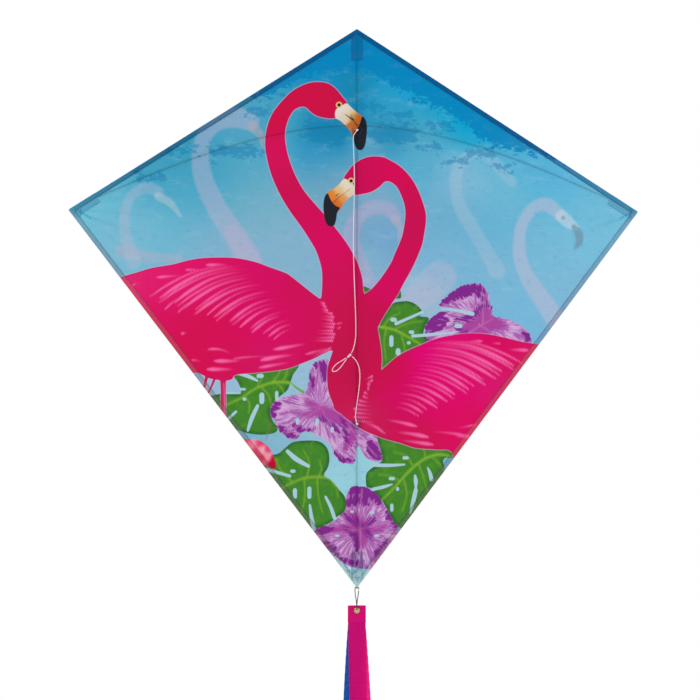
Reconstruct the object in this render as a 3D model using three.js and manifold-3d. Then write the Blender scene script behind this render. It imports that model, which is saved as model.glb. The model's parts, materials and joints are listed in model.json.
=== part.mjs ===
// Single-line diamond kite with its frame, bridle and ribbon tail, in millimetres.
// X is right as seen from the front, the printed front faces -Y and Z is up.
// The origin is on the flat back face of the plastic fitting where the cross spar meets the spine.
import * as THREE from "three";
import { mergeVertices } from "three/addons/utils/BufferGeometryUtils.js";
import Module from "manifold-3d";

const wasm = await Module();
wasm.setup();

// ---- driving dimensions -------------------------------------------------------------------------------------------
const SPAN = 696;                // wing tip to wing tip
const LENGTH = 675;              // nose to tail point
const NOSE_TO_TIPS = 218;        // nose down to the line through the wing tips
const NOSE_TO_FITTING = 116;     // nose down to the top of the bowed cross spar
const TIP_SWEEP = 28;            // how far the wing tips lie behind the spine
const SAIL_THICKNESS = 0.8;
const HEM_WIDTH = 6;
const HEM_THICKNESS = 0.5;
const GAP = 0.3;                 // clearance between pieces that touch

const SPINE_DIAMETER = 3;
const SPAR_DIAMETER = 2.5;
const SPINE_TO_SPAR = 5;         // the spar crosses behind the spine
const BACK_WALL = 2.25;          // plastic behind the spar in the fitting
const CAP_TILT_ROOM = 0.5;       // room for a spar cap that leans in its pocket
const CAP_WALL = 0.5;
const CAP_LENGTH = 9;
const CAP_END = 1.4;

const NOSE_POCKET = { width: 12.8, length: 30, fromPoint: 7 };       // closed end in from the nose
const TAIL_POCKET = { width: 13.2, length: 32.5, fromPoint: 10.5 };   // closed end up from the tail point
const WING_POCKET = { width: 13, length: 37 };
const POCKET_CLOTH = 0.5;

const FITTING = { width: 16, above: 14, below: 4.4, sleeveWall: 1.4, sparSleeve: 22, pad: 3 };
const BORE_CLEARANCE = 0.4;

const CORD = 0.9;                // bridle line diameter
const UPPER_HOLE = 122;          // nose down to the upper bridle hole
const LOWER_HOLE = 477;          // nose down to the lower bridle hole
const STRAND_SPREAD = 0.8;       // each strand of a tie from the middle of its hole
const PATCH_RADIUS = 7;
const PATCH_THICKNESS = 0.4;

const TIE_KNOT_RADIUS = 1;
const LINE_KNOT = { length: 6.8, width: 3 };
const TOW_LOOP = { length: 24, width: 7, start: 1.2 };

const CLIP_WIRE = 1.1;
const CLIP_WIDTH = 5.5;
const CLIP_HANG = 28;            // clip pivot down to the wire in the eyelet
const CLIP_OPENING = 0.5;        // gap at the wire's free end
const LOOP_TAPE = { width: 2.2, thickness: 0.6, bore: 1.2, height: 9, belowTip: 1.2 };
const TAB = { width: 21.7, height: 20, thickness: 1.2, eyeletDown: 6.3 };
const EYELET = { radius: 3.5, bore: 1.6, barrel: 2.2, flange: 0.35 };
const STREAMER = { width: 21, length: 600, thickness: 0.5, below: 0.6, settle: 250 };
const STREAMER_FAN = { magenta: 0.9, pink: 4.5, blue: -4.3 };   // degrees from straight down, at the tab

// ---- places worked out from them ----------------------------------------------------------------------------------
const HALF_SPAN = SPAN / 2;
const NOSE_Z = NOSE_TO_FITTING;
const TIP_Z = NOSE_Z - NOSE_TO_TIPS;
const TAIL_Z = NOSE_Z - LENGTH;
const SPAR_RISE = NOSE_TO_TIPS - NOSE_TO_FITTING;
const spineSleeve = SPINE_DIAMETER / 2 + BORE_CLEARANCE + FITTING.sleeveWall;
const sparSleeve = SPAR_DIAMETER / 2 + BORE_CLEARANCE + FITTING.sleeveWall;
const SPAR_Y = -(BACK_WALL + SPAR_DIAMETER / 2);
const SPINE_Y = SPAR_Y - SPINE_TO_SPAR;
const CLOTH_BACK = SPINE_Y - spineSleeve - GAP - PATCH_THICKNESS - GAP;
const CLOTH_FRONT = CLOTH_BACK - SAIL_THICKNESS;
const HEM_BACK = GAP + HEM_THICKNESS;
const capRadius = (rod) => rod / 2 + GAP + CAP_WALL;
const SPAR_TIP_STANDOFF = HEM_BACK + GAP + capRadius(SPAR_DIAMETER) + CAP_TILT_ROOM;
// The spar runs out towards the upper edge at a small angle, so it ends where its cap still clears that edge.
const edgeSlope = NOSE_TO_TIPS / HALF_SPAN;
const sparSlope = (1.5 * SPAR_RISE) / HALF_SPAN;
const closing = (edgeSlope - sparSlope) / Math.hypot(1, edgeSlope);
const SPAR_END_INSET = (capRadius(SPAR_DIAMETER) + 3 * GAP) / closing + CAP_END + GAP;
const CORD_RADIUS = CORD / 2;
const HOLE_RADIUS = STRAND_SPREAD + CORD_RADIUS + GAP;
const TIE_FRONT = CLOTH_FRONT - 0.5 - 2 * TIE_KNOT_RADIUS;
const BRIDLE_Y = TIE_FRONT - GAP - CORD_RADIUS;    // the bridle swings about this upright line

// ---- colours and surfaces -----------------------------------------------------------------------------------------
const surface = (color, roughness, metalness = 0) => new THREE.MeshStandardMaterial({ color, roughness, metalness });
const finishes = {
  sail: surface(0x5fb4d6, 0.7),
  hem: surface(0x3f93bd, 0.7),
  pocket: surface(0x8fc6da, 0.75),
  rod: surface(0x24262a, 0.4),
  fitting: surface(0x1b1c1f, 0.5),
  cap: surface(0x17181a, 0.6),
  line: surface(0xf0e4e8, 0.8),
  wire: surface(0x57504a, 0.35, 0.9),
  brass: surface(0xc9a24a, 0.3, 0.9),
  magenta: surface(0xb8007c, 0.65),
  pink: surface(0xe0207f, 0.65),
  blue: surface(0x14589c, 0.65),
};

const kite = new THREE.Group();

function add(name, geometry, finish, place = (mesh) => mesh) {
  const mesh = new THREE.Mesh(geometry, finish);
  mesh.name = name;
  place(mesh);
  kite.add(mesh);
  return mesh;
}

// ---- solids -------------------------------------------------------------------------------------------------------
// A closed geometry becomes a manifold solid once only its merged positions are left.
function toSolid(geometry) {
  const plain = geometry.index ? geometry.toNonIndexed() : geometry.clone();
  for (const name of Object.keys(plain.attributes)) {
    if (name !== "position") plain.deleteAttribute(name);
  }
  const merged = mergeVertices(plain, 1e-4);
  return new wasm.Manifold(new wasm.Mesh({
    numProp: 3,
    vertProperties: new Float32Array(merged.attributes.position.array),
    triVerts: new Uint32Array(merged.index.array),
  }));
}

function toGeometry(solid) {
  const { vertProperties, triVerts } = solid.getMesh();
  const geometry = new THREE.BufferGeometry();
  geometry.setAttribute("position", new THREE.BufferAttribute(new Float32Array(vertProperties), 3));
  geometry.setIndex(new THREE.BufferAttribute(new Uint32Array(triVerts), 1));
  geometry.computeVertexNormals();
  return geometry;
}

// A straight prism: an outline in the X-Z plane carried along Y from front to back.
function prism(outline, front, back) {
  const shape = new THREE.Shape(outline.map(([x, z]) => new THREE.Vector2(x, z)));
  const geometry = new THREE.ExtrudeGeometry(shape, { depth: back - front, bevelEnabled: false });
  geometry.rotateX(Math.PI / 2);
  geometry.translate(0, back, 0);
  return geometry;
}

// A disc whose axis runs along Y.
function disc(radius, front, back, x, z, sides = 24) {
  const geometry = new THREE.CylinderGeometry(radius, radius, back - front, sides);
  geometry.translate(x, (front + back) / 2, z);
  return geometry;
}

function tube(curve, radius, steps, sides = 8) {
  const section = new THREE.Shape();
  for (let i = 0; i < sides; i += 1) {
    const angle = (2 * Math.PI * i) / sides;
    const point = [radius * Math.cos(angle), radius * Math.sin(angle)];
    if (i === 0) section.moveTo(...point);
    else section.lineTo(...point);
  }
  section.closePath();
  return new THREE.ExtrudeGeometry(section, { steps, bevelEnabled: false, extrudePath: curve });
}

const spline = (points) => new THREE.CatmullRomCurve3(points.map((p) => new THREE.Vector3(...p)), false, "centripetal");

// ---- the cloth surface: two flat halves that fold back from the spine ----------------------------------------------
const clothDepth = (x) => CLOTH_BACK + (TIP_SWEEP * Math.abs(x)) / HALF_SPAN;

// The diamond drawn inset by a distance from all four edges, as nose, right, tail and left corners.
function diamond(inset) {
  const upper = Math.atan2(NOSE_TO_TIPS, HALF_SPAN);
  const lower = Math.atan2(LENGTH - NOSE_TO_TIPS, HALF_SPAN);
  const noseDrop = inset / Math.cos(upper);
  const tailRise = inset / Math.cos(lower);
  const height = LENGTH - noseDrop - tailRise;
  const half = height / (Math.tan(upper) + Math.tan(lower));
  const tipZ = NOSE_Z - noseDrop - half * Math.tan(upper);
  return [[0, NOSE_Z - noseDrop], [half, tipZ], [0, TAIL_Z + tailRise], [-half, tipZ]];
}

// A wedge-folded slab between two distances behind the cloth's back face, larger than the whole kite.
function foldedSlab(front, back) {
  const reach = 1.2 * HALF_SPAN;
  const top = NOSE_Z + 0.2 * LENGTH;
  const bottom = TAIL_Z - 0.2 * LENGTH;
  const edge = clothDepth(reach);
  const section = new THREE.Shape([
    [-reach, edge + front], [0, CLOTH_BACK + front], [reach, edge + front],
    [reach, edge + back], [0, CLOTH_BACK + back], [-reach, edge + back],
  ].map(([x, y]) => new THREE.Vector2(x, y)));
  const geometry = new THREE.ExtrudeGeometry(section, { depth: top - bottom, bevelEnabled: false });
  geometry.translate(0, 0, bottom);
  return toSolid(geometry);
}

// A flat cloth piece cut to an outline and laid on the fold, between two distances behind the cloth.
function clothPiece(outline, front, back) {
  const cutter = toSolid(prism(outline, CLOTH_BACK - 20, CLOTH_BACK + 2 * TIP_SWEEP + 20));
  return foldedSlab(front, back).intersect(cutter);
}

const bridleHoles = [NOSE_Z - UPPER_HOLE, NOSE_Z - LOWER_HOLE];
const holePunch = (z) => toSolid(disc(HOLE_RADIUS, CLOTH_FRONT - 5, CLOTH_BACK + 5, 0, z, 16));

// ---- sail, hems and reinforcement patches -------------------------------------------------------------------------
let sail = clothPiece(diamond(0), -SAIL_THICKNESS, 0);
for (const z of bridleHoles) sail = sail.subtract(holePunch(z));
add("sail", toGeometry(sail), finishes.sail);

const outer = diamond(0);
const inner = diamond(HEM_WIDTH);
const hemNames = ["hem_upper_right", "hem_lower_right", "hem_lower_left", "hem_upper_left"];
hemNames.forEach((name, side) => {
  const next = (side + 1) % 4;
  const [ax, az] = outer[side];
  const [bx, bz] = outer[next];
  const run = Math.hypot(bx - ax, bz - az);
  const stepX = (GAP * (bx - ax)) / run;
  const stepZ = (GAP * (bz - az)) / run;
  const outline = [
    [ax + stepX, az + stepZ], [bx - stepX, bz - stepZ],
    [inner[next][0] - stepX, inner[next][1] - stepZ], [inner[side][0] + stepX, inner[side][1] + stepZ],
  ];
  add(name, toGeometry(clothPiece(outline, GAP, HEM_BACK)), finishes.hem);
});

["bridle_patch_upper", "bridle_patch_lower"].forEach((name, i) => {
  const round = toSolid(disc(PATCH_RADIUS, CLOTH_BACK - 10, CLOTH_BACK + 10, 0, bridleHoles[i]));
  const patch = foldedSlab(GAP, GAP + PATCH_THICKNESS).intersect(round).subtract(holePunch(bridleHoles[i]));
  add(name, toGeometry(patch), finishes.pocket);
});

// ---- frame: spine, bowed cross spar, their end caps and the fitting -----------------------------------------------
const capReach = POCKET_CLOTH + GAP + CAP_END + GAP;    // pocket's closed end to the rod's end
const spineTop = NOSE_Z - NOSE_POCKET.fromPoint - capReach;
const spineBottom = TAIL_Z + TAIL_POCKET.fromPoint + capReach;

const spine = new THREE.CylinderGeometry(SPINE_DIAMETER / 2, SPINE_DIAMETER / 2, spineTop - spineBottom, 16, 12);
spine.rotateX(Math.PI / 2);
add("spine_rod", spine, finishes.rod, (mesh) => mesh.position.set(0, SPINE_Y, (spineTop + spineBottom) / 2));

// A springy rod pushed up at its middle: its drop grows as (3t^2 - t^3)/2 from the middle to the tip.
class SparCurve extends THREE.Curve {
  constructor(reach) {
    super();
    this.reach = reach;
  }

  getPoint(s, target = new THREE.Vector3()) {
    const x = this.reach * (2 * s - 1);
    const t = Math.abs(x) / HALF_SPAN;
    const bend = (3 * t * t - t ** 3) / 2;
    const tipY = CLOTH_BACK + TIP_SWEEP + SPAR_TIP_STANDOFF;
    return target.set(x, SPAR_Y + (tipY - SPAR_Y) * bend, -SPAR_RISE * bend);
  }
}

const sparReach = HALF_SPAN - SPAR_END_INSET;
const spar = new SparCurve(sparReach);
add("cross_spar", tube(spar, SPAR_DIAMETER / 2, 72, 10), finishes.rod);

// A soft cap over a rod end: a cup turned about the rod, its mouth at zero and its closed end beyond the rod.
function capGeometry(rod) {
  const wall = capRadius(rod);
  const bore = rod / 2 + GAP;
  const mouth = -(CAP_LENGTH - CAP_END - GAP);
  const profile = [[0, GAP], [bore, GAP], [bore, mouth], [wall, mouth], [wall, GAP + CAP_END - 0.6],
    [wall - 0.6, GAP + CAP_END], [0, GAP + CAP_END]];
  return new THREE.LatheGeometry(profile.map(([r, h]) => new THREE.Vector2(r, h)), 16);
}

function aimAlong(direction) {
  return new THREE.Quaternion().setFromUnitVectors(new THREE.Vector3(0, 1, 0), direction.clone().normalize());
}

add("nose_cap", capGeometry(SPINE_DIAMETER), finishes.cap, (mesh) => {
  mesh.position.set(0, SPINE_Y, spineTop);
  mesh.quaternion.copy(aimAlong(new THREE.Vector3(0, 0, 1)));
});
add("tail_cap", capGeometry(SPINE_DIAMETER), finishes.cap, (mesh) => {
  mesh.position.set(0, SPINE_Y, spineBottom);
  mesh.quaternion.copy(aimAlong(new THREE.Vector3(0, 0, -1)));
});
for (const [name, end, side] of [["wing_cap_left", 0, -1], ["wing_cap_right", 1, 1]]) {
  add(name, capGeometry(SPAR_DIAMETER), finishes.cap, (mesh) => {
    mesh.position.copy(spar.getPoint(end));
    mesh.quaternion.copy(aimAlong(spar.getTangent(end).multiplyScalar(side)));
  });
}

const fittingHeight = FITTING.above + FITTING.below;
const fittingMiddle = (FITTING.above - FITTING.below) / 2;
function alongZ(radius, length, middle, sides = 24) {
  const geometry = new THREE.CylinderGeometry(radius, radius, length, sides);
  geometry.rotateX(Math.PI / 2);
  geometry.translate(0, SPINE_Y, middle);
  return toSolid(geometry);
}
function alongX(radius, length, sides = 24) {
  const geometry = new THREE.CylinderGeometry(radius, radius, length, sides);
  geometry.rotateZ(Math.PI / 2);
  geometry.translate(0, SPAR_Y, 0);
  return toSolid(geometry);
}
const web = new THREE.BoxGeometry(2 * spineSleeve - 1, SPINE_TO_SPAR, fittingHeight - 1);
web.translate(0, (SPINE_Y + SPAR_Y) / 2, fittingMiddle);
const pad = new THREE.BoxGeometry(FITTING.width, FITTING.pad, fittingHeight);
pad.translate(0, -FITTING.pad / 2, fittingMiddle);
const fitting = alongZ(spineSleeve, fittingHeight, fittingMiddle)
  .add(alongX(sparSleeve, FITTING.sparSleeve))
  .add(toSolid(web))
  .add(toSolid(pad))
  .subtract(alongZ(SPINE_DIAMETER / 2 + BORE_CLEARANCE, 2 * fittingHeight, fittingMiddle))
  .subtract(alongX(SPAR_DIAMETER / 2 + BORE_CLEARANCE, 2 * FITTING.sparSleeve));
add("centre_fitting", toGeometry(fitting), finishes.fitting);

// ---- pockets that hold the rod ends -------------------------------------------------------------------------------
// Nose and tail pockets: a strip of cloth humped over the rod, closed at its outer end.
function rodPocket(pocket, closedAtTop) {
  const half = pocket.width / 2;
  const slope = TIP_SWEEP / HALF_SPAN;
  const lie = CLOTH_BACK + HEM_BACK + GAP;
  const humpIn = capRadius(SPINE_DIAMETER) + GAP;
  const humpOut = humpIn + POCKET_CLOTH;
  const topIn = SPINE_Y + humpIn;
  const topOut = topIn + POCKET_CLOTH;
  const flat = (x) => lie + slope * x;
  const right = [[humpIn, flat(humpIn)], [half, flat(half)], [half, flat(half) + POCKET_CLOTH],
    [humpOut, flat(humpOut) + POCKET_CLOTH], [humpOut, SPINE_Y + 0.4 * humpIn], [0.6 * humpOut, topOut]];
  const insideRight = [[0.55 * humpIn, topIn], [humpIn, SPINE_Y + 0.4 * humpIn]];
  const mirror = (points) => points.map(([x, y]) => [-x, y]).reverse();
  const outline = [...right, ...mirror(right), ...mirror(insideRight), ...insideRight];
  const solidLine = [...right, ...mirror(right)];
  const extrude = (points, from, to) => {
    const shape = new THREE.Shape(points.map(([x, y]) => new THREE.Vector2(x, y)));
    const geometry = new THREE.ExtrudeGeometry(shape, { depth: to - from, bevelEnabled: false });
    geometry.translate(0, 0, from);
    return toSolid(geometry);
  };
  const top = closedAtTop ? NOSE_Z - pocket.fromPoint : TAIL_Z + pocket.fromPoint + pocket.length;
  const bottom = top - pocket.length;
  const end = closedAtTop ? [top - POCKET_CLOTH, top] : [bottom, bottom + POCKET_CLOTH];
  return extrude(outline, bottom, top).add(extrude(solidLine, ...end));
}
add("nose_pocket", toGeometry(rodPocket(NOSE_POCKET, true)), finishes.pocket);
add("tail_pocket", toGeometry(rodPocket(TAIL_POCKET, false)), finishes.pocket);

// Wing pockets: a strip along the upper hem, raised over the spar end and closed along the tip.
function wingPocket(side) {
  const [, tip] = diamond(0);
  const run = Math.hypot(HALF_SPAN, NOSE_TO_TIPS);
  const along = [-HALF_SPAN / run, NOSE_TO_TIPS / run];
  const inward = [-along[1], -Math.abs(along[0])];
  const at = (a, w) => [side * (tip[0] + a * along[0] + w * inward[0]), tip[1] + a * along[1] + w * inward[1]];
  const strip = (from, to, wide) => [at(from, -1), at(to, -1), at(to, wide), at(from, wide)];
  const raise = SPAR_TIP_STANDOFF + capRadius(SPAR_DIAMETER) + CAP_TILT_ROOM + GAP;
  const body = clothPiece(strip(-30, WING_POCKET.length, WING_POCKET.width), HEM_BACK + GAP, raise + POCKET_CLOTH);
  const room = clothPiece(strip(0.5 * SPAR_END_INSET, 2 * WING_POCKET.length, WING_POCKET.width - 1.6), 0, raise);
  const edge = toSolid(prism(diamond(-0.4), CLOTH_BACK - 20, CLOTH_BACK + 2 * TIP_SWEEP + 20));
  const lid = toSolid(prism(diamond(0.2), CLOTH_BACK - 20, CLOTH_BACK + 2 * TIP_SWEEP + 20));
  return body.intersect(edge).subtract(room.intersect(lid));
}
add("wing_pocket_left", toGeometry(wingPocket(-1)), finishes.pocket);
add("wing_pocket_right", toGeometry(wingPocket(1)), finishes.pocket);

// ---- bridle: a tie through the cloth at each hole, two legs of line, their knot and the tow loop ------------------
const inCapsule = (radius) => toSolid(new THREE.SphereGeometry(radius, 12, 8));
["bridle_tie_upper", "bridle_tie_lower"].forEach((name, i) => {
  const z = bridleHoles[i];
  const round = SPINE_DIAMETER / 2 + GAP + CORD_RADIUS;
  const knotY = TIE_FRONT + TIE_KNOT_RADIUS;
  const behindPatch = CLOTH_BACK + 2 * GAP + PATCH_THICKNESS;
  const loop = spline([
    [-STRAND_SPREAD, knotY, z], [-STRAND_SPREAD, behindPatch, z],
    [-round, SPINE_Y - 0.4, z], [-0.7 * round, SPINE_Y + 0.75 * round, z], [0, SPINE_Y + round, z],
    [0.7 * round, SPINE_Y + 0.75 * round, z], [round, SPINE_Y - 0.4, z],
    [STRAND_SPREAD, behindPatch, z], [STRAND_SPREAD, knotY, z],
  ]);
  const knot = inCapsule(TIE_KNOT_RADIUS).scale([1.5, 1, 1.1]).translate([0, knotY, z]);
  add(name, toGeometry(toSolid(tube(loop, CORD_RADIUS, 36)).add(knot)), finishes.line);
});

// The routes of the two legs, from the holes to the knot between them.
const KNOT_AT = [-10.6, -31, -278.6];
const UPPER_LEG = [
  [0, BRIDLE_Y, -6], [-1.6, -17.3, -8.5], [-4.2, -17.8, -12.5], [-4.9, -18.4, -20], [-4.2, -19.3, -40], [-3.6, -20.1, -67],
  [-4.4, -21.4, -105], [-5.2, -22.9, -139], [-4.5, -24.6, -175], [-3.3, -26.6, -211], [-2.5, -28.5, -240],
  [-3, -29.6, -258], [-5.4, -30.6, -269.5], [-7.9, -31, -275.2],
];
const LOWER_LEG = [
  [-7.1, -31, -279.6], [-3.6, -30.8, -282.9], [-0.4, -30.2, -288], [1.8, -29, -295], [2.5, -27.3, -303],
  [2.2, -25, -313], [1.1, -22.6, -323.5], [-0.3, -20.4, -335], [-1.6, -18.7, -345], [-2, -17.8, -352],
  [-1.3, -17.3, -357.5], [0, BRIDLE_Y, -361],
];
add("bridle_line_upper", tube(spline(UPPER_LEG), CORD_RADIUS, 78), finishes.line);
add("bridle_line_lower", tube(spline(LOWER_LEG), CORD_RADIUS, 44), finishes.line);

// The knot is drawn out along the pull of the tow loop, down and to the left.
const loopWay = new THREE.Vector3(-0.73, 0, -0.68).normalize();
const knot = new THREE.SphereGeometry(1, 16, 10);
knot.scale(LINE_KNOT.length / 2, LINE_KNOT.width / 2, LINE_KNOT.width / 2);
add("bridle_knot", knot, finishes.line, (mesh) => {
  mesh.position.set(...KNOT_AT);
  mesh.quaternion.setFromUnitVectors(new THREE.Vector3(1, 0, 0), loopWay);
});

const loopSide = new THREE.Vector3(-loopWay.z, 0, loopWay.x);
const onLoop = (down, across) => new THREE.Vector3(...KNOT_AT)
  .addScaledVector(loopWay, LINE_KNOT.length / 2 + down)
  .addScaledVector(loopSide, across)
  .toArray();
const strand = CORD_RADIUS + GAP / 2 + 0.05;
const bow = TOW_LOOP.width / 2 - CORD_RADIUS;
const TOW_ROUTE = [
  onLoop(TOW_LOOP.start, -strand), onLoop(0.25 * TOW_LOOP.length, -0.5 * bow),
  onLoop(0.6 * TOW_LOOP.length, -bow), onLoop(0.88 * TOW_LOOP.length, -0.8 * bow),
  onLoop(TOW_LOOP.length, 0),
  onLoop(0.88 * TOW_LOOP.length, 0.8 * bow), onLoop(0.6 * TOW_LOOP.length, bow),
  onLoop(0.25 * TOW_LOOP.length, 0.5 * bow), onLoop(TOW_LOOP.start, strand),
];
add("tow_loop", tube(spline(TOW_ROUTE), CORD_RADIUS, 44), finishes.line);

// ---- tail: a tape loop at the tail point, a bent wire clip, an eyeletted tab and three ribbons --------------------
const pivotY = CLOTH_BACK + HEM_BACK + GAP + 0.1 + LOOP_TAPE.thickness + LOOP_TAPE.bore;
const pivotZ = TAIL_Z - LOOP_TAPE.belowTip + LOOP_TAPE.thickness + LOOP_TAPE.bore;
function slot(radius, top) {
  const shape = new THREE.Shape();
  shape.absarc(0, 0, radius, Math.PI, 2 * Math.PI, false);
  shape.lineTo(radius, top);
  shape.lineTo(-radius, top);
  shape.closePath();
  return shape;
}
const tapeLoop = slot(LOOP_TAPE.bore + LOOP_TAPE.thickness, LOOP_TAPE.height);
tapeLoop.holes.push(slot(LOOP_TAPE.bore, LOOP_TAPE.height - LOOP_TAPE.thickness));
const tape = new THREE.ExtrudeGeometry(tapeLoop, { depth: LOOP_TAPE.width, bevelEnabled: false, curveSegments: 8 });
tape.translate(0, 0, -LOOP_TAPE.width / 2);
tape.rotateX(Math.PI / 2);
tape.rotateZ(Math.PI / 2);
add("tail_loop", tape, finishes.hem, (mesh) => mesh.position.set(0, pivotY, pivotZ));

// The clip is one wire: an arch through the tape loop, a leg in front of the tab, a turn through the eyelet and
// a leg behind the tab whose free end stops just short of the arch.
const wireRadius = CLIP_WIRE / 2;
const clipHalf = CLIP_WIDTH / 2 - wireRadius;
const clearOfTab = TAB.thickness / 2 + GAP + EYELET.flange + GAP + wireRadius;
const CLIP_ROUTE = [
  [clipHalf, 0.3, -2.6 - CLIP_OPENING], [clipHalf, 0.1, -2.4], [0.93 * clipHalf, 0, -0.9], [0.55 * clipHalf, 0, -0.12],
  [0, 0, 0], [-0.55 * clipHalf, 0, -0.12], [-0.93 * clipHalf, 0, -0.9], [-clipHalf, -0.1, -2.4],
  [-0.98 * clipHalf, -0.5, -6], [-0.72 * clipHalf, -1.25, -11], [-0.42 * clipHalf, -1.8, -15],
  [-0.2 * clipHalf, -clearOfTab, -20], [0, -clearOfTab, -CLIP_HANG + 2.4], [0, -0.93 * clearOfTab, -CLIP_HANG + 0.75],
  [0, -0.62 * clearOfTab, -CLIP_HANG + 0.08], [0, 0, -CLIP_HANG], [0, 0.62 * clearOfTab, -CLIP_HANG + 0.08],
  [0, 0.93 * clearOfTab, -CLIP_HANG + 0.75], [0, clearOfTab, -CLIP_HANG + 2.4], [0.2 * clipHalf, clearOfTab, -20],
  [0.42 * clipHalf, 1.8, -15], [0.72 * clipHalf, 1.25, -11], [0.98 * clipHalf, 0.6, -6],
  [clipHalf, 0.4, -3.2 - 2 * CLIP_OPENING],
];
add("tail_clip", tube(spline(CLIP_ROUTE), wireRadius, 80), finishes.wire, (mesh) => mesh.position.set(0, pivotY, pivotZ));

const eyeletSlack = 0.4 * (EYELET.bore - wireRadius);    // the eyelet hangs this far below the wire's centre
const eyeletZ = pivotZ - CLIP_HANG - eyeletSlack;
const tabTop = eyeletZ + TAB.eyeletDown;
const tabBottom = tabTop - TAB.height;
const tabHalf = TAB.width / 2;
const tabShape = new THREE.Shape([
  [-tabHalf, tabBottom - eyeletZ], [tabHalf, tabBottom - eyeletZ], [tabHalf, TAB.eyeletDown], [-tabHalf, TAB.eyeletDown],
].map(([x, z]) => new THREE.Vector2(x, z)));
const tabHole = new THREE.Path();
tabHole.absarc(0, 0, EYELET.barrel + GAP, 0, 2 * Math.PI, true);
tabShape.holes.push(tabHole);
const tab = new THREE.ExtrudeGeometry(tabShape, { depth: TAB.thickness, bevelEnabled: false, curveSegments: 12 });
tab.translate(0, 0, -TAB.thickness / 2);
tab.rotateX(Math.PI / 2);
add("tail_tab", tab, finishes.magenta, (mesh) => mesh.position.set(0, pivotY, eyeletZ));

// The eyelet's flange and barrel are one turned piece, seen from the front; its washer is behind the tab.
const face = TAB.thickness / 2 + GAP;
const eyeletProfile = [[EYELET.bore, -face], [EYELET.barrel, -face], [EYELET.barrel, face], [EYELET.radius, face],
  [EYELET.radius, face + EYELET.flange], [EYELET.bore, face + EYELET.flange], [EYELET.bore, -face]];
const washerBore = EYELET.barrel + GAP;
const washerProfile = [[washerBore, -face - EYELET.flange], [EYELET.radius, -face - EYELET.flange],
  [EYELET.radius, -face], [washerBore, -face], [washerBore, -face - EYELET.flange]];
for (const [name, profile] of [["tail_eyelet", eyeletProfile], ["tail_eyelet_washer", washerProfile]]) {
  const turned = new THREE.LatheGeometry(profile.map(([r, h]) => new THREE.Vector2(r, h)), 24);
  turned.rotateX(Math.PI);
  add(name, turned, finishes.brass, (mesh) => mesh.position.set(0, pivotY, eyeletZ));
}

// A ribbon leaves the tab at its fan angle and settles towards straight down as it falls.
function ribbon(angle) {
  const swing = Math.tan(THREE.MathUtils.degToRad(angle)) * STREAMER.settle;
  const steps = 16;
  const side = (offset) => Array.from({ length: steps + 1 }, (_, i) => {
    const fall = (STREAMER.length * i) / steps;
    return [swing * (1 - Math.exp(-fall / STREAMER.settle)) + offset, -fall];
  });
  const outline = [...side(-STREAMER.width / 2), ...side(STREAMER.width / 2).reverse()];
  return prism(outline, -STREAMER.thickness / 2, STREAMER.thickness / 2);
}
const layer = STREAMER.thickness + GAP;
const layers = { magenta: -layer, pink: 0, blue: layer };
for (const [colour, y] of Object.entries(layers)) {
  add(`streamer_${colour}`, ribbon(STREAMER_FAN[colour]), finishes[colour], (mesh) => {
    mesh.position.set(0, pivotY + y, tabBottom - STREAMER.below);
  });
}

export default kite;
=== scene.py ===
"""A single-line diamond kite: printed sail on a sprung rod frame, cord bridle and ribbon tail."""
import json
import math

import bmesh
import bpy
import numpy as np
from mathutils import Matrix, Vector

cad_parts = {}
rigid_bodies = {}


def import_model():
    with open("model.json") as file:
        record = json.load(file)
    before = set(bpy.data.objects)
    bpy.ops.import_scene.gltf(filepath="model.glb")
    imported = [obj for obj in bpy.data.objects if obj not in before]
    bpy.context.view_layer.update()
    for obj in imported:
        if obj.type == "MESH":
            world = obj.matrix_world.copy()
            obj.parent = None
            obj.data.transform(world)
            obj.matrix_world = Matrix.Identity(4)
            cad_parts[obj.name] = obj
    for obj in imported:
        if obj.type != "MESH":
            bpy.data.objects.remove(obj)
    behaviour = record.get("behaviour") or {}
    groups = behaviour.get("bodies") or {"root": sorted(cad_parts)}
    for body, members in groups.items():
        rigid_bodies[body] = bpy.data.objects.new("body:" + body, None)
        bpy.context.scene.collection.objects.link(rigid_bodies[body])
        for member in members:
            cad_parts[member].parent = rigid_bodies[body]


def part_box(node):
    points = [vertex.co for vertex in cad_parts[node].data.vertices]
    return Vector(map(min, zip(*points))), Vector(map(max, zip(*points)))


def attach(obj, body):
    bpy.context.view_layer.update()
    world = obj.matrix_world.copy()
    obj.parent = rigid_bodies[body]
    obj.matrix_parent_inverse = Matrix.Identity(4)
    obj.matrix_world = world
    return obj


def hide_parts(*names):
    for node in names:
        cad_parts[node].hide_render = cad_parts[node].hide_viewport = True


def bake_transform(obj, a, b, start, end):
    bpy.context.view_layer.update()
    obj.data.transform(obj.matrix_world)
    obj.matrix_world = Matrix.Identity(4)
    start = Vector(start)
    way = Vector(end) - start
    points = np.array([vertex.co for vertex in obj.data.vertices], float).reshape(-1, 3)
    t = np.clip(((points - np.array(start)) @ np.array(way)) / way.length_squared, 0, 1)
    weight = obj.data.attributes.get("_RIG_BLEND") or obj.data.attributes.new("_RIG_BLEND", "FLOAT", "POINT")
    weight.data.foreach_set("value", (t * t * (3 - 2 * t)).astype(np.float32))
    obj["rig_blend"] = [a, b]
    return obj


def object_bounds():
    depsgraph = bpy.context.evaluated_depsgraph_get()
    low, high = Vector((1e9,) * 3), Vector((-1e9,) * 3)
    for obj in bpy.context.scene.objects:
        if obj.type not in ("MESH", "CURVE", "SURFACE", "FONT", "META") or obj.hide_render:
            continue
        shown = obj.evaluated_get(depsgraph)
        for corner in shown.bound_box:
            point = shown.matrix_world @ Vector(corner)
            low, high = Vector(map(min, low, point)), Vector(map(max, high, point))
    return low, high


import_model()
cad_bounds = [[float(n) for n in corner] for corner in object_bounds()]
MM = 0.001

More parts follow.
